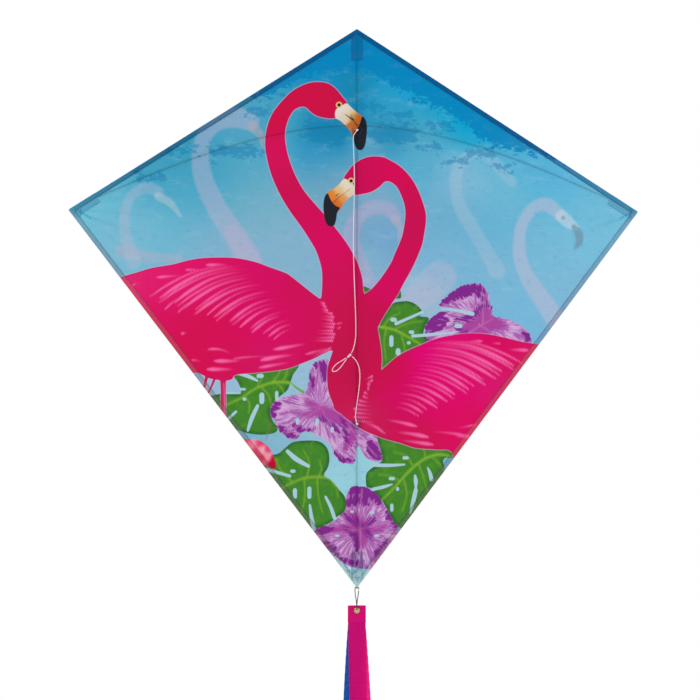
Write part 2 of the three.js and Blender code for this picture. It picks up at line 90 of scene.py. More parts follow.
# ---- Camera, lights and floor
# ------------------------------------------------------------------------------------
# The kite hangs upright in front of a pale room and is seen square from its printed side. A long lens
# keeps the
# diamond's edges straight, and the light is broad and even, with a slightly stronger side so that folds show.
sail_low, sail_high = (np.array(corner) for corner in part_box("sail"))
NOSE_Z, TAIL_Z = sail_high[2], sail_low[2]
HALF_SPAN = sail_high[0]
VIEW_WIDTH = 0.8454
VIEW_DISTANCE = 3.0
SENSOR = 36.0

camera_data = bpy.data.cameras.new("camera")
camera_data.sensor_width = SENSOR
camera_data.lens = SENSOR * VIEW_DISTANCE / VIEW_WIDTH
camera = bpy.data.objects.new("camera", camera_data)
camera_turn = math.radians(3.8)
aim = np.array([-0.0085, sail_low[1], NOSE_Z - 0.3877])
camera_place = aim - VIEW_DISTANCE * np.array([math.sin(camera_turn), math.cos(camera_turn), 0])
camera.location = camera_place
camera.rotation_euler = (math.radians(90), 0, -camera_turn)
bpy.context.scene.collection.objects.link(camera)
bpy.context.scene.camera = camera
bpy.context.scene.view_settings.view_transform = "Standard"


def area_light(name, place, aim, size, power):
    """A square lamp of that size and power at place, turned to face aim."""
    lamp = bpy.data.lights.new(name, "AREA")
    lamp.size = size
    lamp.energy = power
    holder = bpy.data.objects.new(name, lamp)
    holder.location = place
    holder.rotation_euler = (Vector(aim) - Vector(place)).to_track_quat("-Z", "Y").to_euler()
    bpy.context.scene.collection.objects.link(holder)


area_light("key", (-1.6, -2.2, 1.3), (0, 0, -0.3), 1.2, 26)
area_light("side", (2.2, -0.9, 0.2), (0, 0, -0.3), 1.0, 9)

world = bpy.data.worlds.new("studio")
bpy.context.scene.world = world
world.use_nodes = True
world_nodes, world_links = world.node_tree.nodes, world.node_tree.links
world_nodes.clear()
room, glow = world_nodes.new("ShaderNodeBackground"), world_nodes.new("ShaderNodeBackground")
room.inputs["Strength"].default_value = 1.0
glow.inputs["Strength"].default_value = 0.82
seen = world_nodes.new("ShaderNodeLightPath")
either = world_nodes.new("ShaderNodeMixShader")
world_out = world_nodes.new("ShaderNodeOutputWorld")
for shader in (room, glow):
    shader.inputs["Color"].default_value = (1, 1, 1, 1)
world_links.new(seen.outputs["Is Camera Ray"], either.inputs[0])
world_links.new(glow.outputs[0], either.inputs[1])
world_links.new(room.outputs[0], either.inputs[2])
world_links.new(either.outputs[0], world_out.inputs[0])


def add_mesh(name, points, faces, smooth=True):
    """A new object at the origin from arrays of points in metres and of faces."""
    mesh = bpy.data.meshes.new(name)
    mesh.from_pydata(np.asarray(points, float).tolist(), [], [list(map(int, face)) for face in faces])
    mesh.update()
    mesh.polygons.foreach_set("use_smooth", np.full(len(mesh.polygons), smooth))
    thing = bpy.data.objects.new(name, mesh)
    bpy.context.scene.collection.objects.link(thing)
    return thing


def simple_material(name, colour, roughness, metallic=0.0, sheen=0.0):
    """A Principled material and its nodes, with the constants set on the shader itself."""
    material = bpy.data.materials.new(name)
    material.use_nodes = True
    shader = material.node_tree.nodes["Principled BSDF"]
    shader.inputs["Base Color"].default_value = (*colour, 1)
    shader.inputs["Roughness"].default_value = roughness
    shader.inputs["Metallic"].default_value = metallic
    shader.inputs["Sheen Weight"].default_value = sheen
    return material, material.node_tree.nodes, material.node_tree.links, shader


def linear(*rgb):
    """Colour values from 0 to 255, as a printer's chart gives them, turned into linear light."""
    value = np.array(rgb, float) / 255
    return np.where(value <= 0.04045, value / 12.92, ((value + 0.055) / 1.055) ** 2.4)


FLOOR_DROP = 0.03
FLOOR_REACH = 2.4
floor_z = cad_bounds[0][2] - FLOOR_DROP
turn = np.linspace(0, 2 * math.pi, 64, endpoint=False)
rim = np.c_[FLOOR_REACH * np.cos(turn), FLOOR_REACH * np.sin(turn), np.full(64, floor_z)]
floor = add_mesh("floor", rim, [range(64)])
floor_material, nodes, links, shader = simple_material("floor_paint", linear(238, 237, 234), 0.8)
speckle = nodes.new("ShaderNodeTexNoise")
speckle.inputs["Scale"].default_value = 40
tone = nodes.new("ShaderNodeMapRange")
tone.inputs["To Min"].default_value = 0.74
tone.inputs["To Max"].default_value = 0.84
links.new(nodes.new("ShaderNodeTexCoord").outputs["Object"], speckle.inputs["Vector"])
links.new(speckle.outputs["Fac"], tone.inputs["Value"])
links.new(tone.outputs["Result"], shader.inputs["Roughness"])
floor.data.materials.append(floor_material)

# ---- Bridle line
# --------------------------------------------------------------------------------------------------
# White twisted polyester line, 0.9 mm thick, tied behind the cloth at two holes. An upper and a lower leg
# meet at a
# knot, and a small loop hangs from the knot for the flying line.
CORD = 0.9 * MM
LAY_TURN = 4.2 * MM    # one full twist of the line's three strands
tie_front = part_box("bridle_tie_upper")[0][1]
BRIDLE_Y = tie_front - 0.75 * MM
UPPER_LEG = [
    (0, None, -6), (-1.6, -17.3, -8.5), (-4.2, -17.8, -12.5), (-4.9, -18.4, -20), (-4.2, -19.3, -40),
    (-3.6, -20.1, -67), (-4.4, -21.4, -105), (-5.2, -22.9, -139), (-4.5, -24.6, -175), (-3.3, -26.6, -211),
    (-2.5, -28.5, -240), (-3, -29.6, -258), (-5.4, -30.6, -269.5), (-7.9, -31, -275.2),
]
LOWER_LEG = [
    (-7.1, -31, -279.6), (-3.6, -30.8, -282.9), (-0.4, -30.2, -288), (1.8, -29, -295), (2.5, -27.3, -303),
    (2.2, -25, -313), (1.1, -22.6, -323.5), (-0.3, -20.4, -335), (-1.6, -18.7, -345), (-2, -17.8, -352),
    (-1.3, -17.3, -357.5), (0, None, -361),
]


def route(points):
    """A cord's points in metres, with the bridle's own depth where none is given."""
    return np.array([(x * MM, BRIDLE_Y if y is None else y * MM, z * MM) for x, y, z in points])


def smooth_path(points, steps=12):
    """A centripetal Catmull-Rom curve through the points, the given number of steps to each span."""
    p = np.asarray(points, float)
    q = np.vstack([2 * p[:1] - p[1:2], p, 2 * p[-1:] - p[-2:-1]])
    knot = np.r_[0, np.cumsum(np.sqrt(np.linalg.norm(np.diff(q, axis=0), axis=1)))]
    k0, k1, k2, k3 = (knot[i : len(q) - 3 + i][:, None, None] for i in range(4))
    a, b, c, d = (q[i : len(q) - 3 + i][:, None, :] for i in range(4))
    t = k1 + (k2 - k1) * np.linspace(0, 1, steps, endpoint=False)[None, :, None]
    ab = ((k1 - t) * a + (t - k0) * b) / (k1 - k0)
    bc = ((k2 - t) * b + (t - k1) * c) / (k2 - k1)
    cd = ((k3 - t) * c + (t - k2) * d) / (k3 - k2)
    left = ((k2 - t) * ab + (t - k0) * bc) / (k2 - k0)
    right = ((k3 - t) * bc + (t - k1) * cd) / (k3 - k1)
    curve = ((k2 - t) * left + (t - k1) * right) / (k2 - k1)
    return np.vstack([curve.reshape(-1, p.shape[1]), p[-1:]])


def swept(name, path, radius, sides=12, beside=(0, 1, 0), lobes=0, lobe_depth=0.0, turn_length=1.0,
    closed=False):
    """A tube along a path: at each step a ring of points at the radius, in the plane of two directions
    square to the path, the first of them square to beside as well. With lobes, the radius swells and sinks
    round the ring by lobe_depth, and the lobes turn once in each turn_length. A UV map runs round and along
    it."""
    path = np.asarray(path, float)
    ahead = np.roll(path, -1, 0) - np.roll(path, 1, 0) if closed else np.gradient(path, axis=0)
    ahead /= np.linalg.norm(ahead, axis=1)[:, None]
    across = np.cross(ahead, np.asarray(beside, float))
    across /= np.linalg.norm(across, axis=1)[:, None]
    up = np.cross(ahead, across)
    along = np.r_[0, np.cumsum(np.linalg.norm(np.diff(path, axis=0), axis=1))]
    angle = np.linspace(0, 2 * math.pi, sides, endpoint=False)
    swell = 1 + lobe_depth * np.cos(lobes * angle[None, :] + 2 * math.pi * along[:, None] / turn_length)
    reach = (np.broadcast_to(radius, len(path))[:, None] * swell)[..., None]
    ring = np.cos(angle)[None, :, None] * across[:, None] + np.sin(angle)[None, :, None] * up[:, None]
    points = (path[:, None] + reach * ring).reshape(-1, 3)
    rows = len(path)
    row = np.arange(rows if closed else rows - 1)[:, None] * sides
    column = np.arange(sides)[None, :]
    after = (column + 1) % sides
    low = np.roll(row, -1, 0) if closed else row + sides
    faces = np.stack([row + column, row + after, low + after, low + column], -1).reshape(-1, 4).tolist()
    if not closed:
        faces += [list(range(sides))[::-1], list(range((rows - 1) * sides, rows * sides))]
    return add_mesh(name, points, faces)


def fix_normals(thing):
    """Turns every face of a closed piece outwards."""

    work = bmesh.new()
    work.from_mesh(thing.data)
    bmesh.ops.recalc_face_normals(work, faces=work.faces)
    work.to_mesh(thing.data)
    work.free()
    return thing


line_material, nodes, links, shader = simple_material("bridle_line", linear(238, 222, 228), 0.75, sheen=0.2)
fuzz = nodes.new("ShaderNodeTexNoise")
fuzz.inputs["Scale"].default_value = 1800
fuzz.inputs["Detail"].default_value = 3
shade = nodes.new("ShaderNodeMix")
shade.data_type = "RGBA"
shade.inputs[6].default_value = (*linear(206, 186, 196), 1)
shade.inputs[7].default_value = (*linear(242, 230, 236), 1)
nap = nodes.new("ShaderNodeBump")
nap.inputs["Strength"].default_value = 0.5
nap.inputs["Distance"].default_value = 0.1 * MM
links.new(nodes.new("ShaderNodeTexCoord").outputs["Object"], fuzz.inputs["Vector"])
links.new(fuzz.outputs["Fac"], shade.inputs[0])
links.new(shade.outputs[2], shader.inputs["Base Color"])
links.new(fuzz.outputs["Fac"], nap.inputs["Height"])
links.new(nap.outputs["Normal"], shader.inputs["Normal"])


def laid_line(name, points, body, node, steps=26):
    """A stretch of the twisted line along a route, in place of its CAD tube."""
    path = smooth_path(points, steps)
    line = swept(name, path, CORD / 2, sides=18, beside=(1, 0.2, 0), lobes=3, lobe_depth=0.09,
        turn_length=LAY_TURN)
    fix_normals(line)
    line.data.materials.append(line_material)
    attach(line, body)
    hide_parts(node)
    return line


laid_line("bridle_upper_leg", route(UPPER_LEG), "bridle", "bridle_line_upper")
laid_line("bridle_lower_leg", route(LOWER_LEG)[::-1], "bridle", "bridle_line_lower")

# ---- Sail
# ---------------------------------------------------------------------------------------------------------
# One diamond of thin ripstop polyester, dye-printed on its face, pulled flat by the spar's spring. It
# leans back to
# both wing tips, creases fan in from the tips, and a few folds from the packet still show.
SPAN, LENGTH, NOSE_TO_TIPS = 2000 * HALF_SPAN, 1000 * (NOSE_Z - TAIL_Z), 218.0
HALF = SPAN / 2
TIP_SWEEP = 28.0
SAIL_CELLS = 306
CLOTH_MIDDLE = 1000 * sail_low[1] + 0.4
CREASES = [
    # from x, drop   to x, drop   half-width, depth
    (-338, 222, -228, 268, 5.0, 1.5), (-338, 221, -262, 240, 3.0, -0.8), (-336, 219, -214, 231, 4.5, 0.9),
    (-334, 225, -248, 282, 3.5, -0.9), (-336, 218, -250, 199, 4.0, 0.7), (-338, 221, -290, 232, 2.2, 0.7),
    (336, 223, 279, 237, 2.6, -1.2), (336, 224, 246, 262, 5.0, 1.3), (334, 221, 222, 238, 4.5, 0.9),
    (336, 219, 256, 201, 3.6, 0.6), (334, 226, 262, 283, 3.4, -0.8),
    (-206, 145, -112, 146, 1.6, 0.35), (164, 145, 194, 145, 1.6, 0.35), (84, 252, 206, 256, 1.8, 0.28),
    (92, 268, 236, 271, 1.8, -0.22), (88, 287, 214, 291, 1.8, 0.26), (100, 306, 196, 308, 1.8, -0.2),
    (96, 322, 180, 326, 1.8, 0.2), (-8, 560, 2, 668, 3.0, 0.5), (0, 12, -14, 76, 3.4, -0.5),
    (4, 14, 26, 70, 3.4, 0.45), (-128, 90, -98, 205, 7.0, 0.45), (132, 96, 92, 236, 7.0, 0.4),
    (-150, 424, -44, 476, 6.0, 0.4), (150, 424, 50, 470, 6.0, -0.4), (-102, 496, -30, 560, 5.0, 0.35),
]


def smooth_step(low, high, value):
    """0 below low, 1 above high, and the cubic 3t^2 - 2t^3 between."""
    t = np.clip((value - low) / (high - low), 0, 1)
    return t * t * (3 - 2 * t)


def cloth_y(x, drop):
    """How far back the cloth lies, in mm, at x across and drop below the nose. It leans back in proportion
    to |x|, with the ridge over the spine rounded, bellies back between spine, spar and hem, and carries the
    creases, each a bell-shaped ridge that fades along its length."""
    x, drop = np.asarray(x, float), np.asarray(drop, float)
    lean = TIP_SWEEP * (np.sqrt(x * x + 64) - 8) / (math.sqrt(HALF * HALF + 64) - 8)
    low = drop > NOSE_TO_TIPS
    half = HALF * np.where(low, (LENGTH - drop) / (LENGTH - NOSE_TO_TIPS), drop / NOSE_TO_TIPS)
    t = np.clip(np.abs(x) / np.maximum(half, 1), 0, 1)
    spar = 116 + 102 * (3 * (x / HALF) ** 2 - np.abs(x / HALF) ** 3) / 2
    off_spar = smooth_step(14, 90, np.abs(drop - spar))
    belly = 3.4 * np.sin(math.pi * t) ** 2 * off_spar * smooth_step(0, 120, half)
    wave = 0.5 * np.sin(x / 31 + drop / 47 + 1.3) * np.sin(drop / 39 - x / 90) * (1 - t ** 4)
    crease = np.zeros(np.broadcast(x, drop).shape)
    for x0, d0, x1, d1, wide, deep in CREASES:
        dx, dd = x1 - x0, d1 - d0
        long = math.hypot(dx, dd)
        along = ((x - x0) * dx + (drop - d0) * dd) / long ** 2
        aside = ((x - x0) * dd - (drop - d0) * dx) / long
        spread = wide * (0.35 + 0.65 * np.clip(along, 0, 1))
        crease += deep * np.exp(-((aside / spread) ** 2)) * smooth_step(-0.02, 0.2, along) * smooth_step(1,
            0.45, along)
    return CLOTH_MIDDLE + lean + (belly + wave * off_spar + crease * 1.3) * smooth_step(0, 0.06, 1 - t)


def place(x, drop, back=0.0):
    """Points in metres on the cloth, or that many mm behind it."""
    return np.stack([x, cloth_y(x, drop) + back, 1000 * NOSE_Z - drop], -1) * MM


# The grid runs from the nose down the upper right edge (s) and down the upper left edge (t), and its four
# edges
# are straight in the cloth.
s, t = np.meshgrid(np.linspace(0, 1, SAIL_CELLS + 1), np.linspace(0, 1, SAIL_CELLS + 1))
across = HALF * (s * (1 - t) - t * (1 - s))
drop = NOSE_TO_TIPS * (s * (1 - t) + t * (1 - s)) + LENGTH * s * t
X, D = across.ravel(), drop.ravel()
sail = add_mesh(
    "sail_cloth", place(X, D),
    (np.arange(SAIL_CELLS)[:, None, None] * (SAIL_CELLS + 1) + np.arange(SAIL_CELLS)[None, :, None]
     + np.array([0, SAIL_CELLS + 1, SAIL_CELLS + 2, 1])).reshape(-1, 4),
)
corner = np.zeros(len(sail.data.loops), int)
sail.data.loops.foreach_get("vertex_index", corner)
cloth_map = sail.data.uv_layers.new(name="UVMap")
cloth_map.data.foreach_set("uv", np.c_[X / SPAN + 0.5, 1 - D / LENGTH][corner].ravel())
edge_of_cloth = np.minimum(
    (D * HALF - np.abs(X) * NOSE_TO_TIPS) / math.hypot(HALF, NOSE_TO_TIPS),
    ((LENGTH - D) * HALF - np.abs(X) * (LENGTH - NOSE_TO_TIPS)) / math.hypot(HALF, LENGTH - NOSE_TO_TIPS),
)

# The print's shapes are set out flat, as they look from the camera's place, so each cloth point is first
# carried
# onto that flat view: its distance across and down, in mm, both scaled by its nearness.
from_camera = place(X, D) - camera_place
ahead = np.array([math.sin(camera_turn), math.cos(camera_turn), 0])
rightward = np.array([math.cos(camera_turn), -math.sin(camera_turn), 0])
nearness = 1000 * VIEW_DISTANCE / (from_camera @ ahead)
X = (from_camera @ rightward) * nearness + 1000 * aim[0]
D = 387.7 - from_camera[:, 2] * nearness

# ---- The print: how its shapes are drawn
# --------------------------------------------------------------------------
# The picture is held on the cloth's own points as colours, and as distances in mm from each shape's edge,
# negative
# inside. The dye then stops sharply where a distance passes zero.
FAR = 60.0


def closed_curve(points, steps=4):
    """A closed Catmull-Rom curve: on each span the cubic through its ends with slopes half the chord
    across."""
    p = np.asarray(points, float)
    a, b, c, d = (np.roll(p, shift, 0)[:, None] for shift in (1, 0, -1, -2))
    t = np.linspace(0, 1, steps, endpoint=False)[None, :, None]
    curve = b + 0.5 * t * (c - a + t * (2 * a - 5 * b + 4 * c - d + t * (3 * (b - c) + d - a)))
    return curve.reshape(-1, 2)


def nearby(points, reach):
    """Which cloth points lie within reach of the box round some points."""
    low, high = np.min(points, 0) - reach, np.max(points, 0) + reach
    return np.flatnonzero((X > low[0]) & (X < high[0]) & (D > low[1]) & (D < high[1]))


def outline(points, into=None, steps=4):
    """Signed distance from a smooth closed outline: the least distance to its chords, negative where a line
    to the side crosses it an odd number of times. The result is joined to into."""
    edge = np.full(len(X), FAR) if into is None else into
    curve = closed_curve(points, steps)
    near = nearby(curve, 10)
    px, pd = X[near], D[near]
    least, odd = np.full(len(near), FAR * FAR), np.zeros(len(near), bool)
    for (ax, ad), (bx, bd) in zip(curve, np.roll(curve, -1, 0)):
        ex, ed = bx - ax, bd - ad
        k = np.clip(((px - ax) * ex + (pd - ad) * ed) / (ex * ex + ed * ed + 1e-9), 0, 1)
        least = np.minimum(least, (px - ax - k * ex) ** 2 + (pd - ad - k * ed) ** 2)
        if ed:
            odd ^= ((ad > pd) != (bd > pd)) & (px < ax + (pd - ad) * ex / ed)
    edge[near] = np.minimum(edge[near], np.where(odd, -1, 1) * np.sqrt(least))
    return edge


def stroke(points, widths, into=None, smooth=True):
    """Signed distance from a brush stroke along a path: the distance to it less half its width there."""
    edge = np.full(len(X), FAR) if into is None else into
    path = np.asarray(points, float)
    wide = np.broadcast_to(np.asarray(widths, float), len(path))
    if smooth and len(path) > 2:
        both = smooth_path(np.c_[path, wide], 5)
        path, wide = both[:, :2], both[:, 2]
    near = nearby(path, 8 + wide.max())
    px, pd = X[near], D[near]
    for (ax, ad), (bx, bd), wa, wb in zip(path[:-1], path[1:], wide[:-1], wide[1:]):
        ex, ed = bx - ax, bd - ad
        k = np.clip(((px - ax) * ex + (pd - ad) * ed) / (ex * ex + ed * ed + 1e-9), 0, 1)
        reach = np.hypot(px - ax - k * ex, pd - ad - k * ed) - 0.5 * (wa + k * (wb - wa))
        edge[near] = np.minimum(edge[near], reach)
    return edge


def strokes(paths, width, into=None):
    """Many strokes of one width, or (path, widths) pairs where width is None."""
    for item in paths:
        into = stroke(*((item, width) if width is not None else item), into=into)
    return into


def spots(items, into=None):
    """Upright oval spots (x, drop, width, height) or lying ones where width is the longer."""
    for x, d, w, h in items:
        thin, reach = min(w, h), abs(w - h) / 2
        way = (reach, 0) if w > h else (0, reach)
        into = stroke([(x - way[0], d - way[1] - 0.01), (x + way[0], d + way[1] + 0.01)], thin, into,
            smooth=False)
    return into


def washes(items):
    """Colour blended over the cloth from soft washes (x, drop, reach, colour): the mean of their colours
    weighted by the bell exp(-(distance / reach)^2)."""
    total, weight = np.zeros((len(X), 3)), np.full(len(X), 1e-12)
    for x, d, reach, colour in items:
        bell = np.exp(-((X - x) ** 2 + (D - d) ** 2) / reach ** 2) + 1e-9 / (1 + (X - x) ** 2 + (D - d) ** 2)
        total += bell[:, None] * np.array(colour, float)
        weight += bell
    return total / weight[:, None]


def over(base, colour, amount):
    """A colour laid over another by an amount from 0 to 1."""
    return base + (np.asarray(colour, float) - base) * amount[:, None]


def hold_colour(name, values):
    """Keeps a colour on the cloth's points, in linear light."""
    layer = sail.data.attributes.new(name, "FLOAT_COLOR", "POINT")
    light = np.clip(values, 0, 255) / 255
    light = np.where(light <= 0.04045, light / 12.92, ((light + 0.055) / 1.055) ** 2.4)
    layer.data.foreach_set("color", np.c_[light, np.ones(len(light))].ravel().astype(np.float32))


def hold_distance(name, values):
    """Keeps a distance in mm on the cloth's points."""
    layer = sail.data.attributes.new(name, "FLOAT", "POINT")
    layer.data.foreach_set("value", np.asarray(values, np.float32))


# Sky: deep blue at the nose, paler and greener downwards, with four pale birds far off in it.
sky = washes([
    (0, 10, 45, (0, 140, 206)), (-50, 48, 40, (6, 138, 192)), (50, 52, 42, (0, 150, 206)),
    (-95, 82, 42, (66, 160, 192)), (100, 84, 36, (6, 162, 208)), (-150, 105, 34, (84, 162, 194)),
    (150, 112, 34, (0, 160, 206)), (-200, 150, 42, (54, 154, 188)), (200, 150, 42, (80, 176, 214)),
    (-246, 174, 36, (60, 156, 190)), (246, 178, 40, (92, 182, 220)), (-292, 205, 36, (100, 184, 210)),
    (292, 205, 38, (110, 188, 218)), (-330, 224, 26, (116, 196, 218)), (330, 222, 30, (122, 196, 226)),
    (-42, 92, 22, (40, 140, 178)), (-38, 124, 24, (24, 130, 174)), (-48, 154, 26, (52, 152, 198)),
    (-36, 184, 26, (112, 166, 192)), (0, 62, 26, (30, 130, 166)), (38, 84, 26, (66, 164, 202)),
    (40, 124, 24, (42, 144, 184)), (16, 146, 20, (90, 164, 198)), (78, 118, 28, (84, 166, 194)),
    (82, 160, 32, (86, 172, 206)), (130, 180, 34, (132, 186, 216)), (175, 190, 34, (112, 188, 214)),
    (-130, 160, 40, (78, 166, 198)), (-110, 205, 38, (118, 176, 198)), (-210, 205, 46, (84, 172, 202)),
    (-240, 245, 36, (114, 186, 212)), (-280, 244, 34, (126, 186, 211)), (-180, 262, 36, (130, 178, 206)),
    (-90, 262, 36, (132, 178, 206)), (20, 220, 24, (122, 170, 200)), (34, 252, 24, (114, 166, 206)),
    (14, 285, 22, (130, 178, 206)), (110, 225, 34, (108, 174, 206)), (160, 240, 36, (100, 178, 212)),
    (110, 280, 32, (124, 180, 214)), (160, 290, 36, (124, 182, 214)), (215, 270, 38, (116, 186, 216)),
    (285, 250, 34, (120, 192, 220)), (240, 320, 42, (128, 186, 218)), (80, 330, 26, (154, 186, 212)),
    (200, 345, 30, (118, 184, 220)), (-175, 440, 26, (150, 188, 212)), (-130, 500, 24, (118, 178, 200)),
    (-60, 470, 40, (150, 190, 214)), (0, 540, 26, (150, 208, 222)), (-85, 500, 22, (130, 182, 206)),
    (-100, 545, 24, (124, 186, 206)), (70, 600, 24, (118, 186, 206)), (-50, 615, 24, (130, 188, 204)),
    (0, 622, 22, (176, 208, 222)), (0, 655, 24, (196, 236, 240)), (-30, 590, 20, (150, 206, 220)),
])
GHOSTS = [
    # colour, strength, path and widths
    ((206, 172, 202), 0.35, [(-150, 246), (-140, 264), (-131, 282)], [20, 22, 30]),
    ((214, 170, 190), 0.3, [(-284, 268), (-250, 276), (-216, 277)], [16, 14, 10]),
    ((196, 184, 210), 0.35, [(100, 300), (80, 318), (64, 334)], [40, 36, 26]),
    ((176, 176, 206), 0.55, [(-129, 112), (-146, 107), (-166, 112), (-181, 124), (-188, 141), (-189, 161),
    (-185, 182),
                             (-175, 205), (-162, 228), (-148, 248), (-137, 267), (-131, 282)],
     [22, 25, 20, 19, 20, 22, 23, 24, 25, 27, 30, 34]),
    ((178, 184, 210), 0.42, [(-239, 197), (-254, 192), (-272, 201), (-279, 217), (-281, 238), (-277, 257),
    (-270, 282)],
     [13, 14, 12, 12, 13, 14, 17]),
    ((190, 198, 216), 0.30, [(187, 185), (172, 168), (159, 155), (145, 150), (132, 155), (122, 168),
    (119, 185),
                             (121, 203), (128, 222), (139, 240), (150, 259), (159, 274), (169, 292)],
     [12, 14, 14, 13, 13, 14, 15, 15, 16, 17, 17, 18, 20]),
    ((184, 188, 214), 0.62, [(243, 222), (228, 212), (213, 216), (204, 227), (197, 244), (196, 261),
    (197, 277),
                             (204, 296), (215, 314), (228, 333), (241, 352)],
     [15, 17, 14, 14, 14, 15, 16, 18, 20, 22, 25]),
    ((176, 168, 204), 0.62, [(47, 226), (38, 218), (22, 215), (9, 220), (-1, 231), (-7, 247), (-4, 267),
    (4, 286),
                             (15, 315)], [14, 17, 17, 17, 18, 20, 20, 21, 24]),
]
for colour, strength, path, widths in GHOSTS:
    sky = over(sky, colour, strength * smooth_step(2.2, -2.2, stroke(path, widths)))
for colour, strength, path, widths in (
    ((176, 168, 176), 0.6, [(-126, 118), (-117, 128), (-114, 142)], [13, 9, 3]),
    ((186, 200, 206), 0.5, [(-240, 202), (-226, 210), (-213, 226)], [10, 9, 3]),
    ((196, 212, 226), 0.65, [(247, 226), (255, 233), (264, 240)], [15, 14, 8]),
    ((112, 142, 164), 0.65, [(262, 239), (268, 248), (268, 258), (263, 265)], [6, 10, 8, 3]),
    ((104, 134, 156), 0.55, [(248.6, 228), (249.4, 228)], [4, 4]),
    ((190, 176, 186), 0.5, [(46, 230), (52, 240), (50, 254)], [11, 8, 3]),
):
    sky = over(sky, colour, strength * smooth_step(1.4, -1.4, stroke(path, widths)))
hold_colour("sky_paint", sky)
# Deep-blue cloud bank across the top, and the dark water-colour patches under it. The dye's fringe is in
# the cloth's
# own finish; here are only the distances from the bank's edge and the patches' edges.
bank = outline([(0, -40), (60, -20), (130, 20), (250, 100), (262, 160), (205, 152), (160, 143), (128, 118),
    (92, 97),
                (58, 80), (30, 64), (0, 52), (-24, 56), (-52, 58), (-84, 74), (-110, 88), (-130, 84),
                (-80, 0)])
patches = spots([
    (-36, 120, 58, 40), (2, 94, 18, 12), (26, 96, 20, 10), (56, 104, 26, 9), (44, 126, 60, 22),
    (100, 117, 34, 8),
    (88, 142, 26, 7), (150, 150, 40, 9), (-118, 100, 30, 8), (-150, 148, 60, 12), (-104, 148, 40, 8),
    (-214, 146, 40, 9), (-250, 178, 36, 8), (120, 160, 30, 6), (176, 168, 26, 6), (-86, 78, 26, 6),
    (74, 82, 20, 6),
])
hold_distance("bank_edge", bank)
hold_distance("patch_edge", patches)



def brush(paths, soft=1.1):
    """How strongly the dye of many brush strokes lies, 0 to 1: full inside a stroke, falling to nothing
    over a soft edge, and fading along it where a stroke says so. Each stroke is (path, widths, strength,
    end strength)."""
    strength = np.zeros(len(X))
    for path, widths, full, last in paths:
        both = np.c_[np.asarray(path, float), np.broadcast_to(np.asarray(widths, float), len(path))]
        both = smooth_path(both, 6) if len(path) > 2 else both
        near = nearby(both[:, :2], 4 + both[:, 2].max())
        px, pd = X[near], D[near]
        best = strength[near]
        parts = len(both) - 1
        for i in range(parts):
            (ax, ad, wa), (bx, bd, wb) = both[i], both[i + 1]
            ex, ed = bx - ax, bd - ad
            k = np.clip(((px - ax) * ex + (pd - ad) * ed) / (ex * ex + ed * ed + 1e-9), 0, 1)
            reach = np.hypot(px - ax - k * ex, pd - ad - k * ed) - 0.5 * (wa + k * (wb - wa))
            best = np.maximum(best, smooth_step(soft, -soft,
                reach) * (full + (last - full) * (i + k) / parts))
        strength[near] = best
    return strength


# Purple leaves: lilac, with plum lobes whose edges are ragged, pale veins, and slits through which the sky
# shows.
purple = outline([(82, 368), (82.6, 358), (89, 350), (99, 343), (111, 340), (128, 341), (120, 338),
    (99.5, 335.5),
                  (102, 329), (112, 319.5), (124.5, 311), (137, 307.5), (149, 308), (156, 314), (160, 326),
                  (163, 338), (165, 347), (181, 350), (194, 356), (205, 364), (210, 372), (209, 384),
                  (180, 378),
                  (142, 374), (108, 377), (84, 384), (77, 383)])
outline([(-65, 440), (-80, 442), (-100, 450), (-105, 462), (-99, 474), (-96, 483), (-85, 493), (-74, 496),
    (-67, 487),
         (-56, 487), (-41, 494), (-33, 500), (-28, 512), (-20, 522), (-4, 525), (1, 504), (10, 517),
         (19, 522),
         (30, 521), (32, 506), (27, 490), (0, 470), (-20, 450), (-34, 425), (-34, 400), (-50, 402),
         (-57, 415),
         (-59, 430)], purple)
outline([(-23, 590), (-17, 580), (-14, 568), (-11, 558), (-5, 553), (3, 552), (15, 555), (26, 562), (32, 573),
         (41, 581), (47, 592), (50, 606), (38, 626), (24, 649), (8, 652), (-10, 649), (-25, 638), (-42, 622),
         (-53, 605), (-36, 598)], purple)
